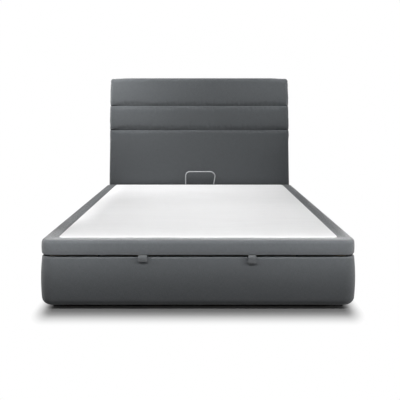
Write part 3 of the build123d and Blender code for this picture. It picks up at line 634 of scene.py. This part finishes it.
def base_section():
    """The upholstery round the base: out from the nominal outline, and height."""
    low, high = BASE_LOW_ROUND, BASE_TOP_ROUND
    inner, board = -COVER - PANEL, -COVER + BACKING_GAP
    board_low, board_high = UNDERSIDE + HEM_LOW, RIM - HEM_HIGH
    z0, z1 = UNDERSIDE + low, RIM_SEEN - high
    section = arc((BASE_FOOT_OUT - low, z0), low, -90, 90, 9)
    for share in np.linspace(0, 1, 17)[1:-1]:
        swell = (BASE_CROWN - BASE_FOOT_OUT / 2) * 4 * share * (1 - share)
        section.append((BASE_FOOT_OUT * (1 - share) + swell, z0 + (z1 - z0) * share))
    section += arc((-high, z1), high, 0, 90, 6)
    for out in np.linspace(-high, inner, 6)[1:]:
        inwards = (-high - out) / (-high - inner)
        section.append((out, RIM_SEEN - RIM_FALL * inwards ** 0.8))
    return section + [(inner, board_high), (board, board_high), (board, board_low),
                      (inner, board_low), (inner, UNDERSIDE)]


def away_from_base(points):
    """The level way out of the base at each point, along its sides and round its corners."""
    away = points - np.array((0, BASE_MID_Y, 0))
    for axis, half in enumerate((BASE_HALF_WIDTH, BASE_HALF_LENGTH)):
        straight = half - BASE_CORNER
        away[:, axis] -= np.clip(away[:, axis], -straight, straight)
    away[:, 2] = 0
    return away / np.maximum(np.linalg.norm(away, axis=1), 1e-6)[:, None]


def base_upholstery():
    """Foam and cloth round the base, a little uneven as stretched cloth is."""
    def plan(out):
        return rounded_loop(BASE_HALF_WIDTH + out, BASE_MID_Y - BASE_HALF_LENGTH - out,
                            BASE_MID_Y + BASE_HALF_LENGTH + out, BASE_CORNER + out)

    section = base_section()
    points, faces = ring_piece(section, plan)
    size = len(points) // len(section)
    z0, z1 = UNDERSIDE + BASE_EVEN_FOOT, RIM_SEEN - BASE_EVEN_RIM
    outer = [out > PAINTED_SHADE_FROM and z0 < z < z1 for out, z in section]
    unevenness = wander(points, BASE_SLOW, 1, (1, 1, 1.4)) + wander(points, BASE_QUICK, 2, (1, 1, 0.5))
    points += away_from_base(points) * (unevenness * np.repeat(outer, size))[:, None]
    obj = mesh_object("base_upholstery", points, faces, sharp_above=60)
    obj.data.materials.append(MATERIALS["grey_fabric"])
    obj.data.materials.append(MATERIALS["dark_lining"])
    # Painted shade: the rim's top inside the gap and the cover's hidden inner faces get the near-black
    # lining cloth, so the gap under the lid reads dark
    for polygon in obj.data.polygons:
        out, z = section[polygon.index // size]
        polygon.material_index = int(out <= PAINTED_SHADE_FROM and z > UNDERSIDE + PAINTED_SHADE_ABOVE)
    piece(obj, None, "base", "grey_fabric", "base_cover")
    return obj


def bumper_places():
    """Where the rubber pads stand on the rim."""
    places = []
    for side in (-1, 1):
        places += [(side * (BASE_HALF_WIDTH - BUMPER_IN), y) for y in BUMPER_YS]
        places.append((side * BUMPER_X, BASE_MID_Y - BASE_HALF_LENGTH + BUMPER_IN))
    return places


def rubber_bumpers():
    """Domed square pads pressed into the rim, which the closed lid rests on."""
    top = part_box("rim_bumpers")[1].z
    rings = [(1.0, RIM_SEEN - BUMPER_SUNK)] + [(share, top - drop) for share, drop in BUMPER_DOME]
    points, faces = [], []
    for cx, cy in bumper_places():
        start = len(points)
        for share, z in rings:
            half = BUMPER_HALF * share
            plan = rounded_loop(half, -half, half, half * 0.45, corner_steps=4, end_steps=3, side_steps=3)
            points += [(cx + x, cy + y, z) for x, y in plan]
        count = (len(points) - start) // len(rings)
        for i in range(len(rings) - 1):
            a, b = start + i * count, start + (i + 1) * count
            faces += [(a + j, a + (j + 1) % count, b + (j + 1) % count, b + j) for j in range(count)]
        faces.append(tuple(start + j for j in range(count))[::-1])
        faces.append(tuple(start + (len(rings) - 1) * count + j for j in range(count)))
    obj = mesh_object("rubber_bumpers", points, faces, sharp_above=50)
    return piece(obj, MATERIALS["bumper_rubber"], "base", "bumper_rubber", "rim_bumpers")


def border_section():
    """The outside of the lid's border: out from the nominal outline, and height."""
    low, high = LID_LOW_ROUND, LID_TOP_ROUND
    foot = LID_UNDERSIDE - LID_HANG
    section = [(-COVER, LID_UNDERSIDE), (-LID_ROLL, LID_UNDERSIDE)]
    section += [(-LID_ROLL + out, foot + up) for out, up in ROLL_EASE]
    section += arc((-low, foot + low), low, -90, 90, 6)
    face = line((0, foot + low), (0, LID_TOP - high), 6)
    section += [(out + FACE_SWELL * sin(pi * (i + 1) / 6), z) for i, (out, z) in enumerate(face)]
    return section + arc((-high, LID_TOP - high), high, 0, 90, 10)


def border_upholstery():
    """Padded border of the lid: it rolls over the edge and slopes down to the pale pad."""
    y0, y1 = LID_MID_Y - LID_HALF_LENGTH, LID_MID_Y + LID_HALF_LENGTH
    loops = []
    for out, z in border_section():
        plan = rounded_loop(BASE_HALF_WIDTH + out, y0 - out, y1 + out, BASE_CORNER + out)
        loops.append([(x, y, z) for x, y in plan])
    edge = loops[-1]
    seam = rounded_loop(pad_high.x + SEAM_GAP, pad_low.y - SEAM_GAP, pad_high.y + SEAM_GAP, PAD_CORNER)
    for share in BORDER_SHARES:
        rise = BORDER_CROWN * sin(pi * min(share * 1.6, 1.0))
        z = LID_TOP + rise - SEAM_DROP * smooth(share, 0.10, 1.05)
        loops.append([(a[0] + (b[0] - a[0]) * share, a[1] + (b[1] - a[1]) * share, z)
                      for a, b in zip(edge, seam)])
    top_count = len(loops) * len(seam)
    inner = rounded_loop(BASE_HALF_WIDTH - COVER, y0 + COVER, y1 - COVER, BASE_CORNER - COVER)
    loops += [[(x, y, DECK_TOP) for x, y in plan] for plan in (seam, inner)]
    points = np.array([p for loop in loops for p in loop])
    ripple = wander(points, BORDER_QUICK, 3, (1, 1, 2)) + wander(points, BORDER_SLOW, 4)
    ripple *= smooth(points[:, 2], DECK_TOP - BORDER_EVEN, LID_TOP)
    points[:top_count, 2] += ripple[:top_count]
    obj = mesh_object("lid_border_upholstery", points, ring_faces(len(loops), len(seam)), sharp_above=60)
    piece(obj, MATERIALS["grey_fabric"], "lid", "grey_fabric", "lid_border")
    return obj


def edge_planes(low, high, roll, steps, inner_steps):
    """Planes across a pad: close together where its edges roll, even between."""
    near = [roll * (1 - cos(pi / 2 * i / steps)) for i in range(steps)]
    middle = np.linspace(low + roll, high - roll, inner_steps + 1)
    return [low + n for n in near] + list(middle) + [high - n for n in near[::-1]]


def rounded_plan(points, low, high, corner):
    """Move points of a rectangle so that its plan has round corners."""
    for sign_x in (-1, 1):
        for sign_y in (-1, 1):
            edge_x = high[0] if sign_x > 0 else -low[0]
            edge_y = high[1] if sign_y > 0 else -low[1]
            a = (points[:, 0] * sign_x - (edge_x - corner)) / corner
            b = (points[:, 1] * sign_y - (edge_y - corner)) / corner
            inside = (a > 0) & (b > 0)
            new_a = a * np.sqrt(np.maximum(1 - b * b / 2, 0))
            new_b = b * np.sqrt(np.maximum(1 - a * a / 2, 0))
            points[inside, 0] = sign_x * (edge_x - corner + new_a[inside] * corner)
            points[inside, 1] = sign_y * (edge_y - corner + new_b[inside] * corner)
    return points


def lid_pad():
    """The pale pad on the lid: rolled edges, a slightly uneven top."""
    xs = edge_planes(pad_low.x, pad_high.x, PAD_ROLL, 5, 44)
    ys = edge_planes(pad_low.y, pad_high.y, PAD_ROLL, 5, 58)
    points, faces = box_skin(xs, ys, [pad_low.z, LID_TOP - PAD_SIDE, LID_TOP])
    top = points[:, 2] > LID_TOP - 1e-6
    y = points[:, 1].copy()
    gap_x = np.minimum(points[:, 0] - pad_low.x, pad_high.x - points[:, 0])
    gap_y = np.minimum(y - pad_low.y, pad_high.y - y)
    sink = [PAD_ROLL - np.minimum(g, PAD_ROLL) for g in (gap_x, gap_y)]
    reach = np.minimum(np.hypot(*sink), PAD_ROLL)
    drop = PAD_DROP * (reach / PAD_ROLL) ** 2
    inner = smooth(np.minimum(gap_x, gap_y), 0.0, PAD_EDGE)
    swell = (PAD_SWELL + wander(points, PAD_SLOW, 5, (1, 1.6, 1))) * inner
    fade = smooth(y, pad_high.y - PAD_BAND_REACH, pad_high.y)
    bands = PAD_BANDS * np.sin(y * 2 * pi / PAD_BAND_PITCH) * fade
    points[:, 2] += np.where(top, swell - drop + bands * inner, 0)
    points = rounded_plan(points, pad_low, pad_high, PAD_CORNER)
    obj = mesh_object("lid_top_fabric", points, faces, sharp_above=50)
    piece(obj, MATERIALS["white_fabric"], "lid", "white_fabric", "lid_top_pad")
    return obj


# The headboard's upholstery

def edge_steps(steps=6):
    """Distances from the headboard's edge that land evenly on its rounding."""
    return sorted({round(HEADBOARD_ROUND * (1 - tan(pi / 4 * i / steps)), 6) for i in range(steps + 1)})


def headboard_rows():
    """Heights of the headboard's rows: close at the seams and at the top's rounding."""
    rows = []
    ends = (UNDERSIDE, *SEAMS, HEADBOARD_TOP)
    for number, (z0, z1) in enumerate(zip(ends, ends[1:])):
        below = SEAM_STEPS if number else (0,)
        above = SEAM_STEPS[1:] if z1 < HEADBOARD_TOP else edge_steps()[1:]
        start, stop = z0 + below[-1], z1 - above[-1]
        count = max(2, round((stop - start) / ROW))
        rows += [z0 + s for s in below] + list(np.linspace(start, stop, count + 1)[1:-1])
        rows += [z1 - s for s in above[::-1]]
    return rows + [HEADBOARD_TOP]


def headboard_columns():
    """Places across the headboard at its foot's width."""
    half, edge = HEADBOARD_FOOT_HALF, edge_steps()
    count = round(2 * (half - HEADBOARD_ROUND) / COLUMN)
    middle = list(np.linspace(-half + HEADBOARD_ROUND, half - HEADBOARD_ROUND, count + 1)[1:-1])
    return [-half + s for s in edge] + middle + [half - s for s in edge[::-1]]


def headboard_depths():
    """Places through the headboard, from its front to its back."""
    return [HEADBOARD_FRONT + s for s in (*edge_steps(), *BACK_STEPS)]


def headboard_half(z):
    """Half of the headboard's width at a height."""
    return np.interp(z, HEADBOARD_HEIGHTS, HEADBOARD_HALVES)


def channel_dip(z):
    """How far the cloth is drawn in at a height: steep under a seam, slower above one."""
    dip = np.zeros_like(z)
    for seam in SEAMS:
        below = (np.clip(1 - (seam - z) / DIP_BELOW[0], 0, 1) * (z <= seam)) ** DIP_BELOW[1]
        above = (np.clip(1 - (z - seam) / DIP_ABOVE[0], 0, 1) * (z > seam)) ** DIP_ABOVE[1]
        stitch = np.clip(1 - np.abs(z - seam) / STITCH_REACH, 0, 1)
        dip = np.maximum(dip, SEAM_DEPTH * np.maximum(below, above) + STITCH_DEPTH * stitch)
    return dip


def channel_crown(z):
    """How far each channel and the tall panel fall back from their fullest height."""
    crown = np.zeros_like(z)
    for z0, z1 in zip(SEAMS, (*SEAMS[1:], HEADBOARD_TOP)):
        share = np.clip((z - z0) / (z1 - z0), 0, 1)
        crown += CHANNEL_SWELL * (1 - np.sin(pi * share ** 0.8)) * ((z > z0) & (z <= z1))
    share = np.clip((z - PANEL_FULL_FROM) / (SEAMS[0] - PANEL_FULL_FROM), 0, 1)
    return crown + PANEL_SWELL * share ** 3 * (z <= SEAMS[0])


def puckers(points):
    """Small folds that run out of the seams."""
    total = np.zeros(len(points))
    for number, seam in enumerate(SEAMS):
        away = points[:, 2] - seam
        fade = np.exp(-np.abs(away) / np.where(away > 0, PUCKER_ABOVE, PUCKER_BELOW))
        quick = wander(points, PUCKER_QUICK, 11 + number, (1, 0.2, 0.2))
        slow = wander(points, PUCKER_SLOW, 17 + number, (1, 0.2, 0.2))
        total += fade * (quick + slow)
    return total


def set_loose(cloth):
    """Set a cloth modifier for light loose cloth with pressure inside and no gravity."""
    settings = cloth.settings
    settings.quality = CLOTH_QUALITY
    settings.mass = CLOTH_MASS
    settings.tension_stiffness = settings.compression_stiffness = CLOTH_STIFFNESS
    settings.shear_stiffness = CLOTH_SHEAR
    settings.bending_stiffness = CLOTH_BENDING
    settings.vertex_group_mass = "held"
    settings.shrink_min = -CLOTH_SLACK
    settings.use_pressure = True
    settings.uniform_pressure_force = CLOTH_PRESSURE
    settings.effector_weights.gravity = 0
    cloth.collision_settings.use_collision = False
    cloth.point_cache.frame_start = 1
    cloth.point_cache.frame_end = CLOTH_FRAMES


def inflated(points, faces, held, cap):
    """Blow a skin up a little as loose cloth, except where it is held, and give its new points."""
    obj = mesh_object("cloth_trial", points, faces)
    group = obj.vertex_groups.new(name="held")
    group.add([int(i) for i in np.flatnonzero(held)], 1.0, "REPLACE")
    set_loose(obj.modifiers.new("cloth", "CLOTH"))
    scene = bpy.context.scene
    for number in range(1, CLOTH_FRAMES + 1):
        scene.frame_set(number)
    settled = obj.evaluated_get(bpy.context.evaluated_depsgraph_get()).data
    moved = np.array([v.co for v in settled.vertices]) - points
    scene.frame_set(1)
    bpy.data.objects.remove(obj)
    length = np.linalg.norm(moved, axis=1)
    moved *= (cap * np.tanh(length / cap) / np.maximum(length, 1e-9))[:, None]
    return points + moved


def rounded_skin(sharp):
    """The sharp box with its front edges and top rounded, and the way out at each point."""
    r, half = HEADBOARD_ROUND, HEADBOARD_FOOT_HALF
    core = sharp.copy()
    core[:, 0] = np.clip(core[:, 0], -half + r, half - r)
    core[:, 1] = np.maximum(core[:, 1], HEADBOARD_FRONT + r)
    core[:, 2] = np.minimum(core[:, 2], HEADBOARD_TOP - r)
    away = sharp - core
    normal = away / np.linalg.norm(away, axis=1)[:, None]
    return core + r * normal, normal


def headboard_skin():
    """The headboard's outer skin, and the sharp box that it comes from."""
    sharp, faces = box_skin(headboard_columns(), headboard_depths(), headboard_rows(), ("y+", "z-"))
    points, normal = rounded_skin(sharp)
    z = points[:, 2].copy()
    front, side = normal[:, 1] ** 2, normal[:, 0] ** 2
    dip = (channel_dip(z) + channel_crown(z)) * (front + SIDE_DIP * side)
    dip *= 1 - 0.6 * smooth(points[:, 1], HEADBOARD_BACK - 2 * BACK_TURN, HEADBOARD_BACK)
    uneven = wander(points, HEADBOARD_SLOW, 7) + wander(points, HEADBOARD_QUICK, 8, (1, 1, 0.6))
    points -= normal * (dip - (puckers(points) + uneven) * (front + SIDE_UNEVEN * side))[:, None]
    back = np.clip((sharp[:, 1] - HEADBOARD_BACK + BACK_TURN) / BACK_TURN, 0, 1)
    turn_in = BACK_TURN * (1 - np.sqrt(np.maximum(1 - back ** 2, 0)))
    points[:, 0] -= np.sign(points[:, 0]) * turn_in * side
    points[:, 2] -= turn_in * normal[:, 2] ** 2
    corner = smooth(np.abs(points[:, 0]), TOP_CORNER_FROM, HEADBOARD_FOOT_HALF)
    points[:, 2] -= TOP_CORNER_DROP * corner * smooth(points[:, 2], SEAMS[1], HEADBOARD_TOP)
    points[:, 0] *= headboard_half(points[:, 2]) / HEADBOARD_FOOT_HALF
    return points, sharp, faces


def headboard_inner(sharp):
    """The inner twin of the headboard's skin, on the frame's board and sides."""
    inner = sharp.copy()
    top = HEADBOARD_TOP - TOP_WRAP
    inner[:, 2] = UNDERSIDE + (sharp[:, 2] - UNDERSIDE) * (top - UNDERSIDE) / (HEADBOARD_TOP - UNDERSIDE)
    board_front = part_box("headboard_board")[0].y
    depth = (HEADBOARD_BACK - board_front) / (HEADBOARD_BACK - HEADBOARD_FRONT)
    inner[:, 1] = HEADBOARD_BACK - (HEADBOARD_BACK - sharp[:, 1]) * depth - BACKING_GAP
    share = inner[:, 2] / HEADBOARD_TOP
    frame_half = FRAME_HALVES[0] * (1 - share) + FRAME_HALVES[1] * share
    inner[:, 0] *= (frame_half - SIDE_WRAP + BACKING_GAP) / HEADBOARD_FOOT_HALF
    return inner


def headboard_upholstery():
    """Foam and cloth over the headboard, drawn in along two sewn seams."""
    outer, sharp, faces = headboard_skin()
    held = np.min([np.abs(sharp[:, 2] - seam) for seam in SEAMS], axis=0) < HELD_SEAM
    held |= sharp[:, 1] > HEADBOARD_FRONT + HELD_BACK
    held |= sharp[:, 2] < UNDERSIDE + HELD_FOOT
    outer = inflated(outer, faces, held, CLOTH_CAP)
    points, faces = shell(outer, headboard_inner(sharp), faces)
    obj = mesh_object("headboard_upholstery", points, faces, sharp_above=60)
    piece(obj, MATERIALS["grey_fabric"], "base", "grey_fabric", "headboard_cover")
    return obj


# Linings, tabs and the stop bar

def cloth_sheet(name, xs, ys, place):
    """A thin closed sheet from a grid. place turns (x, y, out) into a point."""
    points, faces = box_skin(xs, ys, (0.0, SHEET_THICK))
    return mesh_object(name, np.array([place(*p) for p in points]), faces, sharp_above=60)


def lid_lining():
    """Dark cloth under the lid, which sags a little between its stapled edges."""
    low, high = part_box("lid_underside_lining")

    def place(x, y, out):
        gap = min(x - low.x, high.x - x, y - low.y, high.y - y)
        free = float(smooth(gap, *LID_FREE))
        sag = LID_SAG * free * (1 + noise.noise(Vector((x * 5, y * 5, 2.0))) / 2)
        return x, y, high.z - (SHEET_GAP + SHEET_THICK) + out - sag

    xs, ys = np.linspace(low.x, high.x, 61), np.linspace(low.y, high.y, 77)
    obj = cloth_sheet("lid_underside_cloth", xs, ys, place)
    piece(obj, MATERIALS["dark_lining"], "lid", "dark_lining", "lid_underside_lining")
    return obj


def headboard_lining():
    """Dark cloth over the back of the headboard, over the edge of the fabric."""
    low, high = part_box("headboard_back_lining")
    half, foot, top = high.x + BACK_LAP, low.z, high.z + BACK_LAP

    def place(x, z, out):
        taper = float(headboard_half(z)) / HEADBOARD_FOOT_HALF
        gap = min(half - abs(x), top - z, z - foot)
        free = float(smooth(gap, *BACK_FREE))
        sag = BACK_SAG * free * (1 - 0.75 * noise.noise(Vector((x * 7, z * 4, 5.0))))
        return x * taper, HEADBOARD_BACK + SHEET_GAP + out - sag, z

    xs, zs = np.linspace(-half, half, 61), np.linspace(foot, top, 49)
    obj = cloth_sheet("headboard_back_cloth", xs, zs, place)
    obj.data.flip_normals()
    piece(obj, MATERIALS["dark_lining"], "base", "dark_lining", "headboard_back_lining")
    return obj


def tab_path(low, high):
    """The strap's middle line as (y, z): in along the lid, down, round its fold and back up."""
    y_face, z_fold, z_in = low.y + TAB_OUT, low.z + TAB_OUT, high.z - WEBBING
    half = TAB_FOLD / 2
    bend_out, bend_in = TAB_BENDS
    far, middle, near = [y_face + run for run in TAB_RUN_IN]
    path = [(high.y, z_in), (far, z_in), (middle, (z_in + TAB_TOP) / 2), (near, TAB_TOP)]
    path += arc((y_face + bend_out - half, TAB_TOP - bend_out), bend_out, 90, 90, 8)
    path += line(path[-1], (y_face - half, z_fold), 6)
    path += arc((y_face, z_fold), half, 180, 180, 8)
    back_y, inner_top = y_face + half, TAB_TOP - TAB_FOLD
    path += line((back_y, z_fold), (back_y, inner_top - bend_in), 6)
    path += arc((back_y + bend_in, inner_top - bend_in), bend_in, 180, -90, 6)
    return np.array(path + [(middle, inner_top), (high.y, z_in - TAB_FOLD)])


def pull_tab(side):
    """A folded strap under the lid's front edge, thinner and a little curled at its selvedges."""
    low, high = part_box(f"{side}_pull_tab")
    path = tab_path(low, high)
    ahead = np.gradient(path, axis=0)
    ahead /= np.linalg.norm(ahead, axis=1)[:, None]
    out = np.stack([ahead[:, 1], -ahead[:, 0]], axis=1)
    across = np.linspace(low.x, high.x, 15)
    grid, faces = box_skin(range(len(path)), range(len(across)), (-1.0, 1.0))
    points = []
    for i, j, s in grid:
        i, j = int(i), int(j)
        share = 2 * j / (len(across) - 1) - 1
        thin = WEBBING / 2 * (1 - 0.5 * abs(share) ** 6)
        y, z = path[i] - out[i] * s * thin
        hang = np.clip((TAB_TOP - z) / (TAB_TOP - low.z - TAB_OUT), 0, 1)
        curl = (TAB_CURL * share * share + TAB_WAVE * sin(share * 2.2 + 1.0)) * hang
        points.append((across[j], y - curl, z - TAB_TILT * share * hang))
    obj = mesh_object(f"{side}_tab_strap", points, faces, sharp_above=50)
    piece(obj, MATERIALS["tab_fabric"], "lid", "tab_fabric", f"{side}_pull_tab")
    return obj


def stop_bar():
    """The bent wire that keeps the mattress in place, with its right leg leaning in to its foot."""
    y = (bar_low.y + bar_high.y) / 2
    z0, z1 = bar_low.z, LID_TOP + BAR_HEIGHT - BAR_RADIUS
    foot_right = BAR_RIGHT - BAR_RIGHT_LEAN
    left_bend, right_bend = BAR_BENDS
    turn = 90 - degrees(atan2(BAR_RIGHT_LEAN, z1 - z0))
    corner_x = BAR_RIGHT - right_bend * tan(radians(turn) / 2)
    path = [(BAR_LEFT, z0)] + line((BAR_LEFT, z0), (BAR_LEFT, z1 - left_bend), 6)
    path += arc((BAR_LEFT + left_bend, z1 - left_bend), left_bend, 180, -90, 12)
    path += line((BAR_LEFT + left_bend, z1), (corner_x, z1), 8)
    path += arc((corner_x, z1 - right_bend), right_bend, 90, -turn, 14)
    path += line(path[-1], (foot_right, z0), 6) + [(foot_right, z0)]
    obj = tube("stop_bar_wire", [(x, y, z) for x, z in path], BAR_RADIUS)
    return piece(obj, MATERIALS["bar_steel"], "lid", "bar_steel", "mattress_stop_bar")


# The floor, the world, the lights and the camera

def seen_directly(tree):
    """1 for rays from the camera, a mirror or through glass, else 0."""
    path = node(tree, "LightPath").outputs
    seen = maths(tree, "MAXIMUM", path["Is Camera Ray"], path["Is Glossy Ray"])
    return maths(tree, "MAXIMUM", seen, path["Is Transmission Ray"])


def beyond(tree, value, middle, half, reach):
    """How far a value lies outside middle plus or minus half, in parts of reach."""
    away = maths(tree, "ABSOLUTE", maths(tree, "SUBTRACT", value, middle))
    outside = maths(tree, "MAXIMUM", maths(tree, "SUBTRACT", away, half), 0.0)
    share = maths(tree, "DIVIDE", outside, reach)
    return maths(tree, "MULTIPLY", share, share)


def floor_material():
    """White floor that throws little light back up, with a painted shadow close to the bed on top of the
    real one.
    """
    material = bpy.data.materials.new("floor")
    material.use_nodes = True
    tree = material.node_tree
    tree.nodes.remove(tree.nodes["Principled BSDF"])
    axes = node(tree, "SeparateXYZ", {0: place_of(tree)}).outputs
    front, back = cover_low.y + PAINTED_SHADOW_FRONT_IN, cad_high.y - PAINTED_SHADOW_BACK_IN
    across = beyond(tree, axes[0], 0.0, PAINTED_SHADOW_HALF_WIDTH, PAINTED_SHADOW_SIDE_REACH)
    along = beyond(tree, axes[1], (front + back) / 2, (back - front) / 2, PAINTED_SHADOW_END_REACH)
    away = maths(tree, "SQRT", maths(tree, "ADD", across, along))
    # Painted shadow: close to the bed the floor shows lamp-lit grey with its real shadow, fading by
    # distance into white glow
    white = ramp(tree, away, *[(place, (level,) * 3) for place, level in PAINTED_SHADOW_FADE])
    glow = node(tree, "Emission", {"Color": (1, 1, 1, 1), "Strength": 1.0}).outputs[0]
    lit = node(tree, "BsdfDiffuse", {"Color": (*[FLOOR_GREY] * 3, 1)}).outputs[0]
    seen = node(tree, "MixShader", {0: white, 1: lit, 2: glow}).outputs[0]
    dim = node(tree, "BsdfDiffuse", {"Color": (*[BOUNCE] * 3, 1)}).outputs[0]
    both = node(tree, "MixShader", {0: seen_directly(tree), 1: dim, 2: seen}).outputs[0]
    tree.links.new(both, tree.nodes["Material Output"].inputs["Surface"])
    return material


def floor_plane():
    """The floor that the bed stands on."""
    corners = [(x * FLOOR_REACH, y * FLOOR_REACH, 0) for x, y in ((-1, -1), (1, -1), (1, 1), (-1, 1))]
    obj = mesh_object("floor", corners, [(0, 1, 2, 3)])
    obj.data.materials.append(floor_material())


def white_world(ambient):
    """White where it is seen, and a low even light elsewhere."""
    world = bpy.data.worlds.new("studio")
    world.use_nodes = True
    tree = world.node_tree
    back = tree.nodes["Background"]
    back.inputs["Color"].default_value = (1, 1, 1, 1)
    spread = node(tree, "MapRange", {"Value": seen_directly(tree), "To Min": ambient, "To Max": 1.0})
    tree.links.new(spread.outputs[0], back.inputs["Strength"])
    bpy.context.scene.world = world


def area_light(name, place, aim, size, power, spread=180):
    """A soft rectangular lamp that the camera doesn't see."""
    lamp = bpy.data.lights.new(name, "AREA")
    lamp.shape = "RECTANGLE"
    lamp.size, lamp.size_y = size
    lamp.energy = power
    lamp.spread = radians(spread)
    obj = bpy.data.objects.new(name, lamp)
    obj.location = place
    obj.rotation_euler = (Vector(aim) - Vector(place)).to_track_quat("-Z", "Y").to_euler()
    obj.visible_camera = False
    bpy.context.scene.collection.objects.link(obj)


def lights():
    """Wide lamps above, a strip along the bed's front, soft lamps over the headboard, and side fills."""
    area_light("above", (-0.20, 0.10, 2.55), (-0.20, 0.10, 0), (2.8, 2.6), 7.1, spread=58)
    area_light("above_middle", (0, -0.20, 2.40), (0, -0.20, 0), (1.6, 1.2), 5.2, spread=70)
    area_light("front_strip", (0, -1.165, 0.44), (0, -0.99, 0.27), (2.4, 0.04), 4.5)
    area_light("front_left", (-0.78, -1.165, 0.45), (-0.76, -0.99, 0.26), (0.6, 0.04), 0.38)
    area_light("front_right", (0.80, -1.165, 0.45), (0.78, -0.99, 0.26), (0.6, 0.04), 0.30)
    area_light("headboard_strip", (0.10, 0.50, 1.60), (0.10, 0.917, 1.10), (1.3, 0.08), 1.7, spread=90)
    area_light("headboard_left", (-1.05, 0.42, 1.62), (-0.62, 0.917, 0.95), (0.4, 0.4), 4.2, spread=90)
    area_light("headboard_right", (1.0, 0.45, 1.55), (0.66, 0.917, 0.92), (0.3, 0.3), 1.1, spread=90)
    area_light("right_far", (8.5, -4.1, 1.9), (-0.25, -1.0, 0.16), (0.4, 0.4), 4.2, spread=24)
    area_light("right", (5.0, 1.6, 1.0), (0.5, 0, 0.25), (2.0, 1.5), 50)
    area_light("left", (-5.0, 1.6, 1.0), (-0.5, 0, 0.25), (2.0, 1.5), 45)
    area_light("left_border", (-0.82, 0.10, 0.95), (-0.72, 0.10, 0.33), (1.4, 0.04), 0.36, spread=30)
    area_light("behind", (0.5, 5.5, 1.4), (0, 1.0, 0.6), (2.5, 1.5), 100)


def camera():
    """The camera at the photograph's viewing angle."""
    data = bpy.data.cameras.new("camera")
    data.lens = CAMERA_LENS
    data.sensor_width = 36
    data.shift_x, data.shift_y = CAMERA_SHIFT
    obj = bpy.data.objects.new("camera", data)
    obj.location = CAMERA_PLACE
    obj.rotation_euler = (radians(90 - CAMERA_PITCH), 0, 0)
    bpy.context.scene.collection.objects.link(obj)
    bpy.context.scene.camera = obj


bpy.context.scene.view_settings.view_transform = "Standard"
camera()
lights()
white_world(AMBIENT)
floor_plane()
dress_frame()
base_upholstery()
rubber_bumpers()
border_upholstery()
lid_pad()
headboard_upholstery()
lid_lining()
headboard_lining()
pull_tab("left")
pull_tab("right")
stop_bar()
